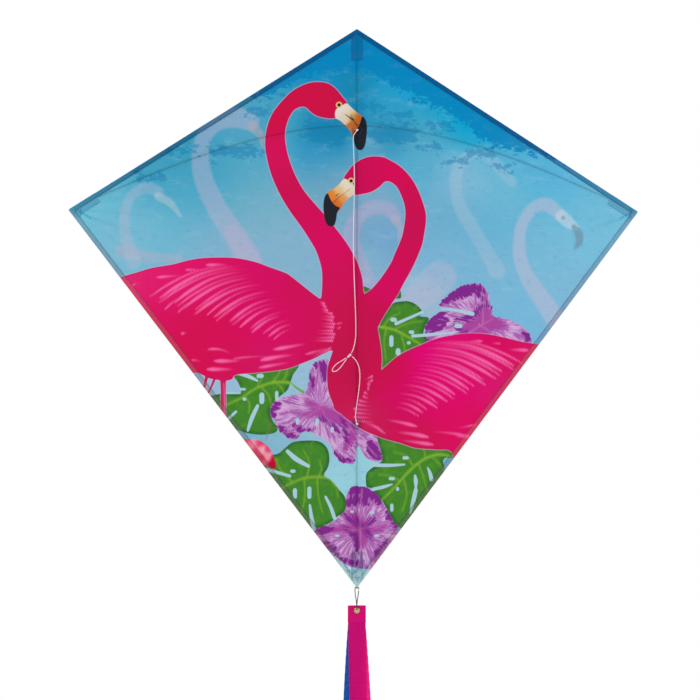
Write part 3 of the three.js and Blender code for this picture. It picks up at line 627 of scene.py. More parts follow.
plum = strokes([
    ([(102, 331.8), (112.6, 324), (128, 316), (141, 313.4), (150.6, 314.8), (154.5, 319)],
    [7, 12, 14, 12, 9, 4]),
    ([(146, 320), (154, 326.5), (158, 331)], [6, 4, 1]), ([(84, 364), (89, 355), (97, 347.5), (107.4, 342)],
    [8, 11, 7, 2]),
    ([(89, 360.6), (107, 359.3)], [12, 1]), ([(89, 355), (109, 351)], [10, 1]),
    ([(77, 380), (88, 374)], [5, 7]),
    ([(120, 350), (131, 350), (141, 346), (147, 338), (154.5, 334.4), (162, 334)], [3, 6, 7, 7, 6, 3]),
    ([(118, 358), (128, 364.5), (134, 369)], [4, 7, 6]), ([(199, 364), (204, 371), (207, 376)], [2, 8, 8]),
    ([(-103, 470), (-103, 460), (-94, 452)], [6, 8, 2]), ([(-94, 480), (-84, 489), (-72, 494)], [4, 9, 4]),
    ([(-74, 479), (-66, 486), (-54, 484)], [7, 6, 2]), ([(-50, 404), (-42, 408), (-38, 424)], [3, 12, 4]),
    ([(-56, 418), (-54, 430), (-58, 440)], [5, 6, 2]), ([(16, 500), (22, 512), (27, 519)], [8, 14, 4]),
    ([(-26, 512), (-16, 520), (-3, 522)], [3, 5, 4]), ([(-7, 560), (4, 557), (18, 562), (28, 572)],
    [7, 15, 14, 6]),
    ([(-10, 572), (2, 568), (14, 574)], [9, 14, 3]), ([(38, 584), (43, 592), (46, 600)], [4, 9, 5]),
    ([(-50, 605), (-40, 606), (-28, 602)], [4, 8, 2]), ([(-40, 620), (-30, 628), (-24, 636)], [4, 8, 3]),
    ([(-4, 588), (4, 598), (12, 606), (18, 618)], [5, 8, 8, 3]),
    ([(-12, 604), (-2, 614), (0, 628)], [4, 8, 3]),
    ([(-18, 584), (-8, 592), (-2, 598)], [3, 6, 4]), ([(20, 592), (12, 600), (6, 604)], [5, 7, 4]),
    ([(-20, 640), (-8, 644), (6, 646)], [2, 6, 2]), ([(20, 640), (26, 630), (36, 618)], [2, 6, 2]),
    ([(-48, 470), (-34, 474), (-22, 486)], [2, 6, 3]), ([(-20, 470), (-14, 486), (-12, 500)], [2, 6, 3]),
], None)
mauve = strokes([
    ([(131, 364.5), (146.6, 360.6), (162, 355), (180, 361)], [16, 26, 20, 4]),
    ([(154.5, 342), (152, 352)], [14, 16]),
    ([(-60, 450), (-44, 462), (-26, 468), (-8, 480)], [6, 14, 16, 8]),
    ([(-80, 462), (-60, 466), (-44, 462)], [2, 7, 6]),
    ([(-16, 508), (-8, 496), (-4, 482)], [4, 10, 6]), ([(-6, 590), (4, 604), (6, 622)], [16, 22, 8]),
    ([(-34, 606), (-18, 604), (0, 602)], [4, 9, 6]), ([(34, 600), (20, 606), (8, 606)], [4, 9, 6]),
], None)
pale_vein = [
    [(134.8, 367), (152, 356.7), (164, 350)], [(146.6, 356.7), (165, 368)], [(152, 356.7), (152, 336)],
    [(-98, 462), (-70, 458), (-44, 456)], [(-84, 488), (-64, 470), (-44, 458)],
    [(-46, 406), (-46, 430), (-42, 455)],
    [(-18, 518), (-26, 492), (-42, 460)], [(24, 516), (8, 500), (-10, 480)], [(6, 556), (4, 580), (4, 604)],
    [(-40, 612), (-16, 608), (4, 604)], [(44, 594), (22, 600), (4, 604)], [(4, 604), (4, 628), (2, 646)],
]
fan_x, fan_d = np.zeros(len(X)), np.zeros(len(X))
least = np.full(len(X), 1e9)
for middle_x, middle_d in ((153, 354), (-46, 458), (4, 606)):
    away = np.hypot(X - middle_x, D - middle_d)
    closer = away < least
    least = np.minimum(least, away)
    fan_x = np.where(closer, X - middle_x, fan_x)
    fan_d = np.where(closer, D - middle_d, fan_d)
fan = sail.data.attributes.new("leaf_fan", "FLOAT_VECTOR", "POINT")
fan_out = np.hypot(fan_x, fan_d) + 1e-6
fan.data.foreach_set("vector", np.c_[fan_x / fan_out * 9, fan_d / fan_out * 9,
    fan_out / 22].ravel().astype(np.float32))
hold_distance("leaf_depth", np.where((D < 400), 0.35, np.where(D < 540, 0.5, 1.0)))
hold_distance("purple_edge", purple)
hold_distance("plum_edge", plum)
hold_distance("mauve_edge", mauve)

# Split leaves: green, darker to their edges, with yellow-green ribs and the holes and slits of their kind.
green = outline([(8, 440), (12, 400), (20, 372), (28, 352), (36, 338), (44, 331), (54, 329), (63, 329),
    (73, 334),
                 (79.5, 343), (74, 347), (85, 348), (86.6, 351), (82.6, 358), (80, 368), (84, 372), (78, 386),
                 (50, 410)])
outline([(34, 300), (48, 300), (53, 319), (52.5, 325), (46, 326), (30, 330)], green)
outline([(-10, 305), (9, 311), (19, 316), (18, 322), (2, 330)], green)
outline([(-150, 412), (-112, 402), (-74, 396), (-70, 406), (-77, 417), (-80.5, 427), (-84, 436), (-91, 442),
    (-100, 450),
         (-105, 461), (-101, 475), (-96, 480), (-97, 486), (-104, 489), (-117, 490), (-133, 488), (-146, 484),
         (-170, 484), (-200, 452), (-176, 443), (-158, 440), (-141, 440), (-143, 428)], green)
outline([(-87, 506), (-77.5, 499), (-61, 497), (-46, 498), (-37, 505), (-33.5, 515), (-34.5, 528), (-40, 539),
         (-31, 545), (-21, 557), (-14.7, 565), (-13, 576), (-16.7, 584), (-24, 589), (-29, 594), (-40, 600),
         (-53, 603), (-75, 600), (-135, 540), (-125, 512), (-99, 514)], green)
outline([(26, 488), (60, 490), (126, 512), (117, 518), (104, 520), (104, 545), (70, 610), (56, 604),
    (46, 597), (31, 571),
         (17, 555), (11.5, 553), (11, 538), (17, 531), (27, 524), (31, 520), (29, 510)], green)
strokes([([(-80.5, 427), (-72, 434), (-65, 438.5)], [1.6, 2.4, 3.2]),
    ([(84, 516), (100, 515.5), (117, 517)], [3, 2, 1.6])],
        None, green)
rib = brush([(path, widths, 1, 1) for path, widths in (
    ([(25.5, 359.5), (44, 363), (60, 371), (76, 380.5)], [2.2, 2, 1.6, 1.2]),
    ([(-158, 454), (-139, 445), (-123, 434.5), (-104, 427.5), (-91, 426.5), (-80, 428), (-65, 438.5)],
     [1, 1.3, 1.6, 2, 2.2, 2.4, 2]),
    ([(-93, 556), (-77.5, 547.5), (-61, 542), (-40, 541.6), (-29, 546), (-21, 557)],
    [1, 1.3, 1.7, 2, 2.2, 1.6]),
    ([(27, 572), (44, 555), (65, 532), (82, 519), (98, 514), (117, 517)], [1, 1.4, 1.8, 2, 2.2, 1.8]),
)], 1.7)
rib = np.maximum(rib, brush([(path, 0.9, 0.85, 0.55) for path in (
    [(32, 359), (40, 349), (52, 343)], [(35, 363), (32.7, 377), (35, 400)], [(54, 370), (56, 379), (58, 388)],
    [(44, 363), (60, 356), (78, 353)], [(-123, 434.5), (-116, 424), (-115, 414)],
    [(-104, 427.5), (-96, 419), (-93, 411)],
    [(-91, 426.5), (-86, 419), (-84, 411)], [(-116, 432), (-106, 444), (-104, 459)],
    [(-98, 427), (-90, 435), (-88.6, 442)],
    [(-136, 443), (-130, 452), (-131, 464)], [(-77.5, 547.5), (-92, 533), (-98, 518)],
    [(-61, 542), (-57.6, 524), (-65, 508)],
    [(-48, 541.5), (-43, 533), (-45, 522)], [(-64, 543), (-63, 563), (-67, 586)],
    [(-48, 541.6), (-47, 562), (-42, 584)],
    [(-34, 543), (-26, 553), (-23, 565)], [(68, 529), (60, 516), (44, 511)],
    [(82, 519), (82, 513), (80, 506)],
    [(74, 525), (80, 540), (85, 559)], [(90, 516), (100, 526), (107, 538)], [(56, 542), (60, 562), (55, 582)],
    [(52, 546), (40, 540), (26, 538)],
)], 1.6))
hold_distance("green_edge", green)
hold_distance("rib_dye", rib)
hold_distance("vein_dye", brush([(path, 0.9, 0.9, 0.5) for path in pale_vein], 1.3))
hole = strokes([
    ([(79, 342), (63, 349), (47, 356)], [3.6, 3.2, 4]), ([(67, 371), (90, 369), (121, 366)], [3.6, 3.8, 2]),
    ([(24.3, 392), (24, 402), (21.7, 417)], [6, 4, 1.6]), ([(-132, 485), (-127, 470), (-120, 455)],
    [3, 5, 4]),
    ([(-158, 439.5), (-141, 440)], [3, 2]), ([(-144, 416), (-130, 420), (-120, 425)], [3, 4.5, 2.4]),
    ([(-158, 473), (-146, 462)], [3.6, 3]), ([(-57, 575), (-55, 590), (-52, 604)], [3, 4.5, 5]),
    ([(-38, 565), (-32, 577), (-27, 591)], [3, 4, 4.4]), ([(-84, 510), (-74, 519), (-58.6, 528)],
    [4.5, 6, 4]),
    ([(-109, 532), (-81, 540)], [4.5, 3.5]), ([(18, 526.5), (40, 527), (57.6, 526)], [4.4, 4, 2.5]),
    ([(19, 556), (32, 553), (42, 550)], [4, 4, 2.4]), ([(85, 529), (88, 536), (90, 544)], [1.5, 4, 5]),
    ([(70, 539), (71, 546), (71, 553)], [2.5, 5, 3]), ([(71, 557), (68, 570), (64, 585)], [5, 5, 2]),
    ([(102, 337.4), (120, 340), (139.5, 344)], [2, 3.6, 5]),
], None)
spots([
    (44, 351, 8, 5), (24.6, 376, 5, 15), (41.5, 377, 5, 14), (65.7, 366, 7, 4), (62.5, 379, 5, 4),
    (49.6, 390, 6, 9),
    (-117, 419, 9, 5), (-138, 435, 8, 3), (-136, 447, 5, 4), (-115, 446, 6, 14), (-97, 443, 4, 12),
    (-75, 561, 5, 13),
    (-57.6, 560, 5, 15), (-77.5, 534, 7, 4), (-97, 551, 5, 4), (58.6, 518, 8, 4), (42, 543, 8, 4),
    (49, 555.5, 4, 5),
    (42, 578, 4, 10), (122.4, 358.6, 10, 5), (-6, 583, 5, 3), (18, 584, 7, 3.4),
    (-24, 612, 6, 3), (24, 612, 7, 3), (-72, 474, 4, 8), (-48, 474, 4, 8), (-30, 484, 4, 7),
], hole)
hold_distance("hole_edge", hole)

# The two birds: crimson to magenta, a fine dark line and a pale glow round them, and pink feather streaks.
FIRST_BIRD = [
    (-340, 330), (-300, 306), (-283, 299), (-266, 294), (-248, 288.6), (-223, 284.4), (-204, 279.5),
    (-185, 276.6),
    (-158, 276), (-140, 277.6), (-121, 282), (-107.6, 287), (-88, 294), (-80, 298.6), (-60, 314.5),
    (-49, 323),
    (-44, 325.5), (-42.6, 318), (-42, 301), (-43.3, 287), (-49, 269), (-55, 258), (-66.5, 240), (-81, 220),
    (-93, 200),
    (-102, 180), (-108, 160), (-111, 140), (-109, 120), (-101, 100), (-84, 80), (-72, 71), (-59, 65.5),
    (-48, 64),
    (-36, 65.5), (-26.5, 71.5), (-18.5, 81), (-11.5, 91), (-19, 95), (-25, 100), (-26, 107), (-34.6, 107.9),
    (-46, 105.7), (-54, 101.7), (-59.6, 96.5), (-63.6, 94), (-70, 94.5), (-76.5, 98.5), (-82, 107),
    (-86, 119),
    (-87, 131), (-85, 146), (-80.5, 162), (-73, 180), (-63.6, 196), (-52, 210), (-41, 222.5), (-28, 238),
    (-13.7, 257), (-4, 273), (1.6, 285), (6.4, 302), (9, 322), (22, 350), (30, 400), (22, 440), (12, 476),
    (0, 478),
    (-15, 467), (-25, 458.5), (-30.5, 449), (-34.6, 437), (-36, 424), (-35.4, 409), (-32, 397), (-30, 388),
    (-41, 392.5), (-52, 398), (-67, 404), (-80, 409), (-94, 412), (-120, 415), (-146, 417.5), (-150.5, 422.5),
    (-158, 424.7), (-166.6, 424), (-179.5, 421.5), (-187.6, 417.5), (-204, 415), (-300, 420),
]
SECOND_BIRD = [
    (-15.6, 181.4), (-11.3, 172.6), (-4, 163.7), (5.6, 157.3), (17, 154), (31.4, 154.8), (41, 159.2),
    (50.7, 165),
    (60.4, 174), (68.4, 184.6), (75, 197.5), (79.7, 210.4), (83, 223), (83, 234.6), (81.3, 246), (79, 258.7),
    (74.6, 271), (66.5, 289), (57, 306), (49, 321), (41, 333), (32.7, 346), (25.5, 359.5), (19.8, 374),
    (15.8, 390),
    (14.2, 403), (14.7, 418), (23, 417), (34, 408), (47, 396.6), (60, 389), (79.5, 380.5), (95.6, 374),
    (108.5, 371),
    (124.6, 368.4), (142, 367.6), (160, 369), (179.5, 373), (200, 378), (222, 381.5), (260, 390), (140, 540),
    (115, 511), (96, 508), (71, 506), (52, 500), (33.5, 495), (23, 491), (8.4, 485), (-4, 477), (-19, 465),
    (-29, 452), (-20, 400), (-14, 350), (2, 326), (9.3, 320), (18, 313.6), (29.5, 300), (40.7, 283),
    (45, 273),
    (50.7, 260), (54.8, 249), (57.2, 236), (58.5, 223), (57.2, 212), (53, 200), (48.3, 191), (42, 185.5),
    (36.2, 183.8), (32.2, 185.5), (26.6, 191), (17, 196.7), (5.6, 199.5), (-2.9, 199.5), (-4.5, 188),
]
bird = outline(FIRST_BIRD)
outline(SECOND_BIRD, bird)
strokes([([(-162, 420), (-161.5, 440), (-162, 470)], [7, 6, 6.4]),
    ([(-181, 418), (-184, 430), (-187, 441)], [4, 3, 3]),
         ([(-171, 420), (-176, 432), (-182, 444)], [3, 2.4, 2.4])], None, bird)
hold_distance("bird_edge", bird)
hold_colour("bird_paint", washes([
    (-60, 82, 26, (204, 14, 68)), (-95, 108, 24, (206, 12, 70)), (-98, 150, 26, (212, 14, 88)),
    (-82, 190, 26, (202, 14, 80)), (-56, 226, 26, (208, 10, 88)), (-32, 262, 26, (214, 8, 94)),
    (-16, 300, 26, (206, 14, 88)), (-16, 345, 26, (200, 18, 76)), (-14, 395, 26, (196, 18, 74)),
    (-12, 440, 24, (200, 20, 78)), (4, 468, 18, (204, 34, 96)), (8, 176, 20, (204, 10, 84)),
    (44, 168, 20, (214, 8, 84)), (68, 205, 20, (204, 12, 80)), (70, 240, 20, (200, 14, 82)),
    (56, 276, 22, (206, 12, 82)), (34, 306, 22, (212, 8, 94)), (14, 348, 22, (198, 14, 80)),
    (2, 420, 22, (196, 18, 74)), (-275, 312, 26, (222, 40, 112)), (-238, 310, 30, (226, 26, 110)),
    (-198, 300, 28, (222, 18, 104)), (-160, 290, 26, (216, 12, 98)), (-120, 302, 28, (212, 12, 98)),
    (-80, 322, 26, (206, 14, 86)), (-58, 352, 26, (210, 12, 92)), (-112, 342, 30, (218, 6, 102)),
    (-160, 372, 30, (214, 12, 86)), (-204, 370, 32, (212, 14, 80)), (-110, 400, 26, (210, 18, 96)),
    (-240, 345, 32, (216, 14, 92)), (-162, 455, 16, (196, 40, 92)), (38, 410, 22, (204, 14, 76)),
    (58, 450, 28, (212, 8, 96)), (100, 420, 34, (224, 2, 116)), (140, 396, 28, (220, 8, 110)),
    (172, 380, 24, (214, 6, 92)), (204, 392, 26, (220, 18, 98)), (120, 475, 30, (220, 10, 94)),
    (78, 497, 22, (204, 20, 80)), (20, 470, 22, (200, 26, 80)), (172, 424, 28, (216, 22, 108)),
]))


def feather(x, d, long, rise, wide, bend=0.1):
    """A streak from its thick end, rising by an angle in degrees to a fine point, bowed upwards by bend of
    its length."""
    dx, dd = long * math.cos(math.radians(rise)), -long * math.sin(math.radians(rise))
    path = [(x, d), (x + 0.2 * dx, d + 0.2 * dd - bend * long * 0.6),
        (x + 0.5 * dx, d + 0.5 * dd - bend * long),
            (x + 0.8 * dx, d + 0.8 * dd - bend * long * 0.6), (x + dx, d + dd)]
    return path, [wide * 0.3, wide, wide * 0.85, wide * 0.6, 0.6], 1.0, 0.25


def plumage(thick, thin, count, wide):
    """A fan of feathers: their thick ends from one point to another, their fine ends along another line,
    every other one narrow."""
    fan = []
    for k in range(count):
        u = k / (count - 1)
        step = 6 * math.sin(2.4 * k) * (1 - 0.5 * u)
        x, d = (a + (b - a) * u for a, b in zip(*thick))
        to_x, to_d = (a + (b - a) * v for a, b, v in zip(*thin, (u, u ** 1.3)))
        x, d, to_x = x + step * math.copysign(1, to_x - x), d - 0.3 * step, to_x + 5 * math.sin(3.7 * k)
        fan.append(feather(x, d, math.hypot(to_x - x, to_d - d), math.degrees(math.atan2(d - to_d, to_x - x)),
                           (wide if k % 2 else wide * 0.6) * (1 - 0.3 * u)))
    return fan


plumes = plumage(((-250, 323), (-98, 374)), ((-140, 286), (-74, 362)), 19, 4.0)
plumes += plumage(((200, 404), (72, 467)), ((88, 379), (44, 457)), 19, 4.0)
plumes += [feather(*item) for item in (
    # thick end x, drop, length, rise in degrees, width: round the edges of the fans
    (-242, 300, 30, 5, 3.0, 0.0), (-207, 291, 19, 3, 2.2, 0.0), (-182, 285, 26, 2, 3.2, 0.0),
    (-273, 311, 12, 20, 1.6),
    (-232, 339, 30, 34, 2.0), (-216, 342, 26, 34, 1.8), (-212, 368, 6, 10, 3.0, 0.0),
    (-180, 387, 31, -12, 2.8),
    (-172, 401, 34, 0, 4.4, 0.0), (-149, 398, 48, 3, 1.8, 0.02), (-116, 400, 42, 9, 4.8, 0.02),
    (-118, 409, 40, 10, 3.4, 0.0), (-181, 411, 34, 0, 4.4, 0.0), (-100, 387, 42, 10, 4.2, 0.0),
    (-62, 393, 30, 16, 2.4, 0.0), (-200, 400, 14, -14, 1.8), (151, 377, 17, 180, 2.6, 0.0),
    (207, 388, 25, 178, 3.8, 0.0), (173, 380, 12, 176, 1.8, 0.0), (72, 480, 40, 168, 3.8, 0.02),
    (86, 493, 41, 171, 4.6, 0.02), (132, 491, 44, 174, 2.6, 0.02), (144, 478, 25, 190, 2.2, 0.0),
    (92, 502, 41, 172, 4.2, 0.0), (136, 492, 18, 180, 4.2, 0.0), (30, 485, 26, 160, 2.4),
    (34, 489, 25, 157, 2.2),
)]
comb = [([(-46 + 1.3 * k - 0.19 * k * k, 329 + 4.4 * k - (1 if k % 2 else 0)),
          (-40 + 12.5 * min(k / 4, 1) - 1.2 * (k % 3), 331.5 + 4.1 * k)], [0.9, 2.4], 0.3,
          1) for k in range(12)]
comb += [([(9 + 1.3 * k, 424 + 4.6 * k), (18 - 21 * min(k / 8, 1) ** 1.3 + 1.5 * (k % 2), 419.5 + 4.9 * k)],
          [0.9, 2.4], 0.3, 1) for k in range(12)]
comb += [([(-24, 356), (-19, 355)], 1.6, 0.8, 0.8), ([(-23, 361.5), (-20.5, 360.5)], 1.8, 0.8, 0.8)]
comb += [([(-36 + 2 * k, 392 - 3.2 * k), (-58 + 2 * k, 398 - 2.2 * k)], [2.4, 1], 0.8, 0.2) for k in range(3)]
comb += [([(-161, 428), (-160, 445), (-160, 466)], [2, 2.4, 2], 0.5, 0.8)]
hold_distance("streak_dye", np.maximum(brush(plumes, 1.9), brush(comb, 1.4)))

# Beaks and eyes: cream at the face, orange, then a black tip, with brown mouth lines.
beak = outline([(-12.4, 90), (-19, 93), (-25.5, 97.5), (-26.2, 107), (-20, 111), (-12, 118.5), (-8, 123.5),
    (-5, 129),
                (-2, 134), (3, 124), (8.4, 110), (6.6, 105.6), (0.8, 101.4), (-5.6, 96)])
outline([(-15.6, 181), (-9, 184), (-4, 189), (-3, 199), (-8, 202.6), (-13.7, 208), (-17.7, 213), (-21, 218.5),
         (-28, 222), (-34, 210), (-36.4, 198), (-28.2, 193), (-21.7, 187.5)], beak)
hold_distance("beak_edge", beak)
hold_colour("beak_paint", washes([
    (-19, 99, 6, (226, 216, 206)), (-10, 98, 6, (222, 214, 196)), (-16, 108, 5, (222, 204, 178)),
    (-5, 104, 5, (226, 176, 108)), (2, 108, 5, (222, 116, 44)), (-6, 119, 5, (220, 124, 52)),
    (-3, 126, 4, (196, 82, 30)), (-8, 189, 5, (226, 214, 202)), (-15, 188, 6, (224, 214, 194)),
    (-9, 198, 5, (224, 202, 176)), (-22, 194, 5, (224, 184, 124)), (-31, 200, 5, (222, 128, 52)),
    (-17, 206, 5, (220, 150, 84)), (-23, 212, 5, (210, 106, 42)),
]))
tip = outline([(6.4, 105.5), (10.5, 110.2), (12, 118.6), (11.4, 130), (9.9, 139.5), (6.6, 145.5),
    (1.6, 146), (-2, 141.5),
               (-3.9, 134.7), (-5.2, 129), (-3, 123.5), (0.6, 119), (3.8, 113)])
outline([(-35.4, 198.4), (-39, 202.6), (-40.6, 212), (-40, 223), (-38, 233), (-33.8, 238.2), (-28, 237.4),
    (-25.4, 231),
         (-24, 222), (-20.6, 216), (-25, 214), (-29.8, 209.5), (-33, 203.5)], tip)
hold_distance("tip_edge", tip)
ink = strokes([
    ([(-20, 100.6), (-14, 103.4), (-7, 109), (1, 117)], [0.2, 0.9, 1.3, 1.3]),
    ([(-7.6, 105), (-2.8, 111)], [1.3, 0.7]),
    ([(-7.5, 192.5), (-18.5, 200.7), (-30, 210.6)], [0.3, 1.2, 1.3]),
    ([(-21, 198.2), (-26, 201.8)], [0.7, 1.2]),
    ([(-21.8, 91.6), (-21.6, 91.8)], [4.2, 4.2]), ([(-7.2, 183.4), (-7.0, 183.4)], [4.2, 4.2]),
], None)
hold_distance("ink_edge", ink)
hold_distance("eye_edge",
    strokes([([(-21.8, 91.7), (-21.6, 91.7)], [7.4, 7.4]), ([(-7.2, 183.4), (-7, 183.4)], [7.4, 7.4])], None))

# A bud at the left edge, pale petals with a red heart at their tips, on a thin stem.
bud = outline([(-156, 492), (-138, 495), (-121, 496), (-110, 502), (-103, 511), (-98, 526), (-99, 531),
    (-107, 529),
               (-117, 524), (-124, 517), (-138, 508)])
hold_distance("bud_edge", bud)
hold_colour("bud_paint", washes([
    (-140, 500, 8, (214, 60, 110)), (-126, 500, 5, (238, 150, 176)), (-118, 501, 4, (222, 60, 104)),
    (-116, 508, 4, (242, 176, 192)), (-108, 508, 3, (220, 70, 110)), (-108, 516, 4, (236, 150, 172)),
    (-121, 512, 4, (206, 30, 84)), (-101, 519, 3, (196, 12, 52)), (-103, 527, 4, (190, 8, 46)),
    (-112, 523, 3, (224, 90, 124)), (-115, 519, 3, (198, 20, 60)),
]))
hold_distance("stem_dye", brush([([(-110, 496), (-106, 482), (-103, 468)], 1.0, 0.7, 0.7)], 0.8))
hold_distance("cloth_edge", edge_of_cloth)

# Where seams are sewn through the cloth it is drawn in: a painted dark line, partly the blue thread and partly
# painted shade, round the nose and tail pockets, in a fan at the tail point and in short bars by the wing tips.
hold_distance("seam_thread_and_painted_shade", brush([(path, 1.1, strong, strong) for path, strong in (
    ([(-6.2, 7), (-6.2, 37)], 0.75), ([(6.2, 7), (6.2, 37)], 0.75), ([(-6.2, 37), (6.2, 37)], 0.75),
    ([(-6.2, 632), (-6.2, 664)], 0.85), ([(6.4, 632), (6.4, 664)], 0.85), ([(-6.2, 632), (6.4, 632)], 0.85),
    ([(-12, 654), (12, 653)], 1.0), ([(-9, 660), (10, 648)], 0.85), ([(-18, 640), (-5, 666)], 0.75),
    ([(18, 638), (4, 667)], 0.75), ([(-6, 650), (2, 668)], 0.75), ([(-334, 216), (-334, 227)], 0.8),
    ([(330, 217), (330, 228)], 0.8), ([(-322, 228), (-338, 219)], 0.85), ([(318, 229), (333, 220)], 0.85),
)], 1.1))

# Cloth: the dyes laid over each other, the ripstop weave, painted shade and painted light along the hems where the
# cloth lies double, a painted dark line of thread and shade along the seams, a little light through it.
print_cloth = bpy.data.materials.new("printed_ripstop")
print_cloth.use_nodes = True
print_cloth.node_tree.nodes.clear()


def wire(material, kind, inputs, out=0, **settings):
    """A shader node with its settings, its inputs linked or set by key, and one of its outputs returned."""
    made = material.node_tree.nodes.new(kind)
    for key, value in settings.items():
        setattr(made, key, value)
    for key, value in inputs.items():
        if isinstance(value, bpy.types.NodeSocket):
            material.node_tree.links.new(value, made.inputs[key])
        else:
            made.inputs[key].default_value = value
    return made.outputs[out] if made.outputs else None


def kept(material, name, out="Fac"):
    """A value kept on the piece's points."""
    return wire(material, "ShaderNodeAttribute", {}, out, attribute_name=name)


def sums(material, operation, a, b=0.0, c=0.0):
    """Arithmetic on up to three values."""
    return wire(material, "ShaderNodeMath", {0: a, 1: b, 2: c}, operation=operation)


def ramp(material, value, low, high, to_low=0.0, to_high=1.0):
    """Goes smoothly from to_low at low to to_high at high."""
    return wire(material, "ShaderNodeMapRange", {0: value, 1: low, 2: high, 3: to_low, 4: to_high},
                interpolation_type="SMOOTHSTEP")


def lay(material, amount, under, top):
    """One colour laid over another."""
    if not isinstance(top, bpy.types.NodeSocket):
        top = (*linear(*top), 1)
    if not isinstance(under, bpy.types.NodeSocket):
        under = (*linear(*under), 1)
    return wire(material, "ShaderNodeMix", {0: amount, 6: under, 7: top}, 2, data_type="RGBA")


def noise(material, where, scale, detail=2.0, rough=0.5, out="Fac"):
    """Soft noise at so many features to the unit."""
    return wire(material, "ShaderNodeTexNoise", {"Vector": where, "Scale": scale, "Detail": detail,
        "Roughness": rough}, out)


def weave_height(material, where, pitch, strong):
    """Crossed threads of one pitch, with a thicker ripstop thread at every strong-th millimetre: the
    greater of the two ways' ridges."""
    apart = wire(material, "ShaderNodeSeparateXYZ", {0: where})
    both = [apart, apart.node.outputs[1]]
    fine = [sums(material, "SINE", sums(material, "MULTIPLY", way, 2 * math.pi / pitch)) for way in both]
    thick = [ramp(material, sums(material, "ABSOLUTE", sums(material, "SINE", sums(
        material, "MULTIPLY", way, math.pi / strong))), 0.16, 0.0) for way in both]
    cross = sums(material, "MULTIPLY", fine[0], fine[1])
    return sums(material, "MAXIMUM", thick[0], thick[1]), cross


cloth = print_cloth
flat = wire(cloth, "ShaderNodeUVMap", {}, uv_map="UVMap")
flat_mm = wire(cloth, "ShaderNodeMapping", {0: flat, 3: (SPAN, LENGTH, 1)})
fine_noise = sums(cloth, "SUBTRACT", noise(cloth, flat_mm, 0.42, 3, 0.6), 0.5)
broad_noise = sums(cloth, "SUBTRACT", noise(cloth, flat_mm, 0.09, 5, 0.62), 0.5)
stretched = wire(cloth, "ShaderNodeMapping", {0: flat_mm, 2: (0, 0, 0.5), 3: (0.035, 0.075, 1)})
cloudy = sums(cloth, "SUBTRACT", noise(cloth, stretched, 1.0, 6, 0.66), 0.5)


def inside(name, ragged=0.12, source=None, soft=0.45, shift=0.0):
    """1 inside a printed shape and 0 outside, with its edge moved about by noise."""
    reach = sums(cloth, "MULTIPLY_ADD", source or fine_noise, ragged * 2, kept(cloth, name))
    return ramp(cloth, reach, soft + shift, -soft + shift)


leafy = sums(cloth, "SUBTRACT", noise(cloth,
    wire(cloth, "ShaderNodeMapping", {0: flat_mm, 2: (0, 0, 0.4), 3: (0.09, 0.14, 1)}),
                                      1.0, 7, 0.72), 0.5)
colour = kept(cloth, "sky_paint", "Color")
colour = lay(cloth, ramp(cloth, cloudy, 0.02, 0.26, 0, 0.26), colour, (168, 206, 224))
colour = lay(cloth, ramp(cloth, leafy, -0.02, -0.2, 0, 0.26), colour, (40, 146, 194))
colour = lay(cloth, sums(cloth, "MULTIPLY", inside("patch_edge", 30, leafy, 2.0), 0.55), colour,
    (14, 128, 178))
colour = lay(cloth, sums(cloth, "MULTIPLY", inside("bank_edge", 34, leafy, 2.0, -4), 0.85), colour,
    (0, 130, 188))
fan = kept(cloth, "leaf_fan", "Vector")
fan_noise = sums(cloth, "SUBTRACT", noise(cloth, fan, 1.5, 3, 0.6), 0.5)
depth = kept(cloth, "leaf_depth")
purple_base = lay(cloth, ramp(cloth, fan_noise, -0.16, 0.14), (212, 172, 218), (176, 112, 184))
purple_base = lay(cloth, ramp(cloth, sums(cloth, "ADD", fan_noise, sums(cloth, "MULTIPLY", depth, 0.14)),
    0.05, 0.15, 0, 0.5),
                  purple_base, (160, 72, 160))
purple_base = lay(cloth, inside("mauve_edge", 14, fan_noise, 0.8), purple_base, (170, 70, 158))
purple_base = lay(cloth, inside("plum_edge", 13, fan_noise, 0.6), purple_base, (130, 40, 140))
purple_base = lay(cloth, sums(cloth, "MULTIPLY", kept(cloth, "vein_dye"), 0.8), purple_base, (218, 140, 196))
colour = lay(cloth, inside("purple_edge", 3.0, fan_noise), colour, purple_base)
green_base = lay(cloth, ramp(cloth, kept(cloth, "green_edge"), -0.5, -6), (44, 104, 46), (66, 132, 44))
green_base = lay(cloth, ramp(cloth, broad_noise, -0.05, 0.25, 0, 0.7), green_base, (86, 150, 46))
colour = lay(cloth, inside("green_edge"), colour, green_base)
veined = sums(cloth, "MULTIPLY", kept(cloth, "rib_dye"), inside("green_edge"))
colour = lay(cloth, veined, colour, (146, 194, 56))
colour = lay(cloth, inside("hole_edge"), colour, (168, 204, 218))
colour = lay(cloth, kept(cloth, "stem_dye"), colour, (150, 60, 90))
colour = lay(cloth, inside("bud_edge"), colour, kept(cloth, "bud_paint", "Color"))
rim = inside("bird_edge", 0.1, soft=0.6, shift=0.9)
colour = lay(cloth, sums(cloth, "MULTIPLY", rim, 0.5), colour, (228, 164, 204))
body_colour = kept(cloth, "bird_paint", "Color")
body_colour = lay(cloth, ramp(cloth, broad_noise, 0.0, 0.3, 0, 0.3), body_colour, (190, 12, 70))
body_colour = lay(cloth, ramp(cloth, kept(cloth, "streak_dye"), 0.08, 0.82, 0, 0.95), body_colour,
    (248, 104, 172))
inner_line = ramp(cloth, kept(cloth, "bird_edge"), -1.6, -0.3, 0, 0.45)
body_colour = lay(cloth, inner_line, body_colour, (150, 14, 80))
colour = lay(cloth, inside("bird_edge", 0.05, soft=0.4), colour, body_colour)
colour = lay(cloth, inside("beak_edge", 0.05, soft=0.4), colour, kept(cloth, "beak_paint", "Color"))
colour = lay(cloth, inside("tip_edge", 0.05, soft=0.4), colour, (34, 36, 44))
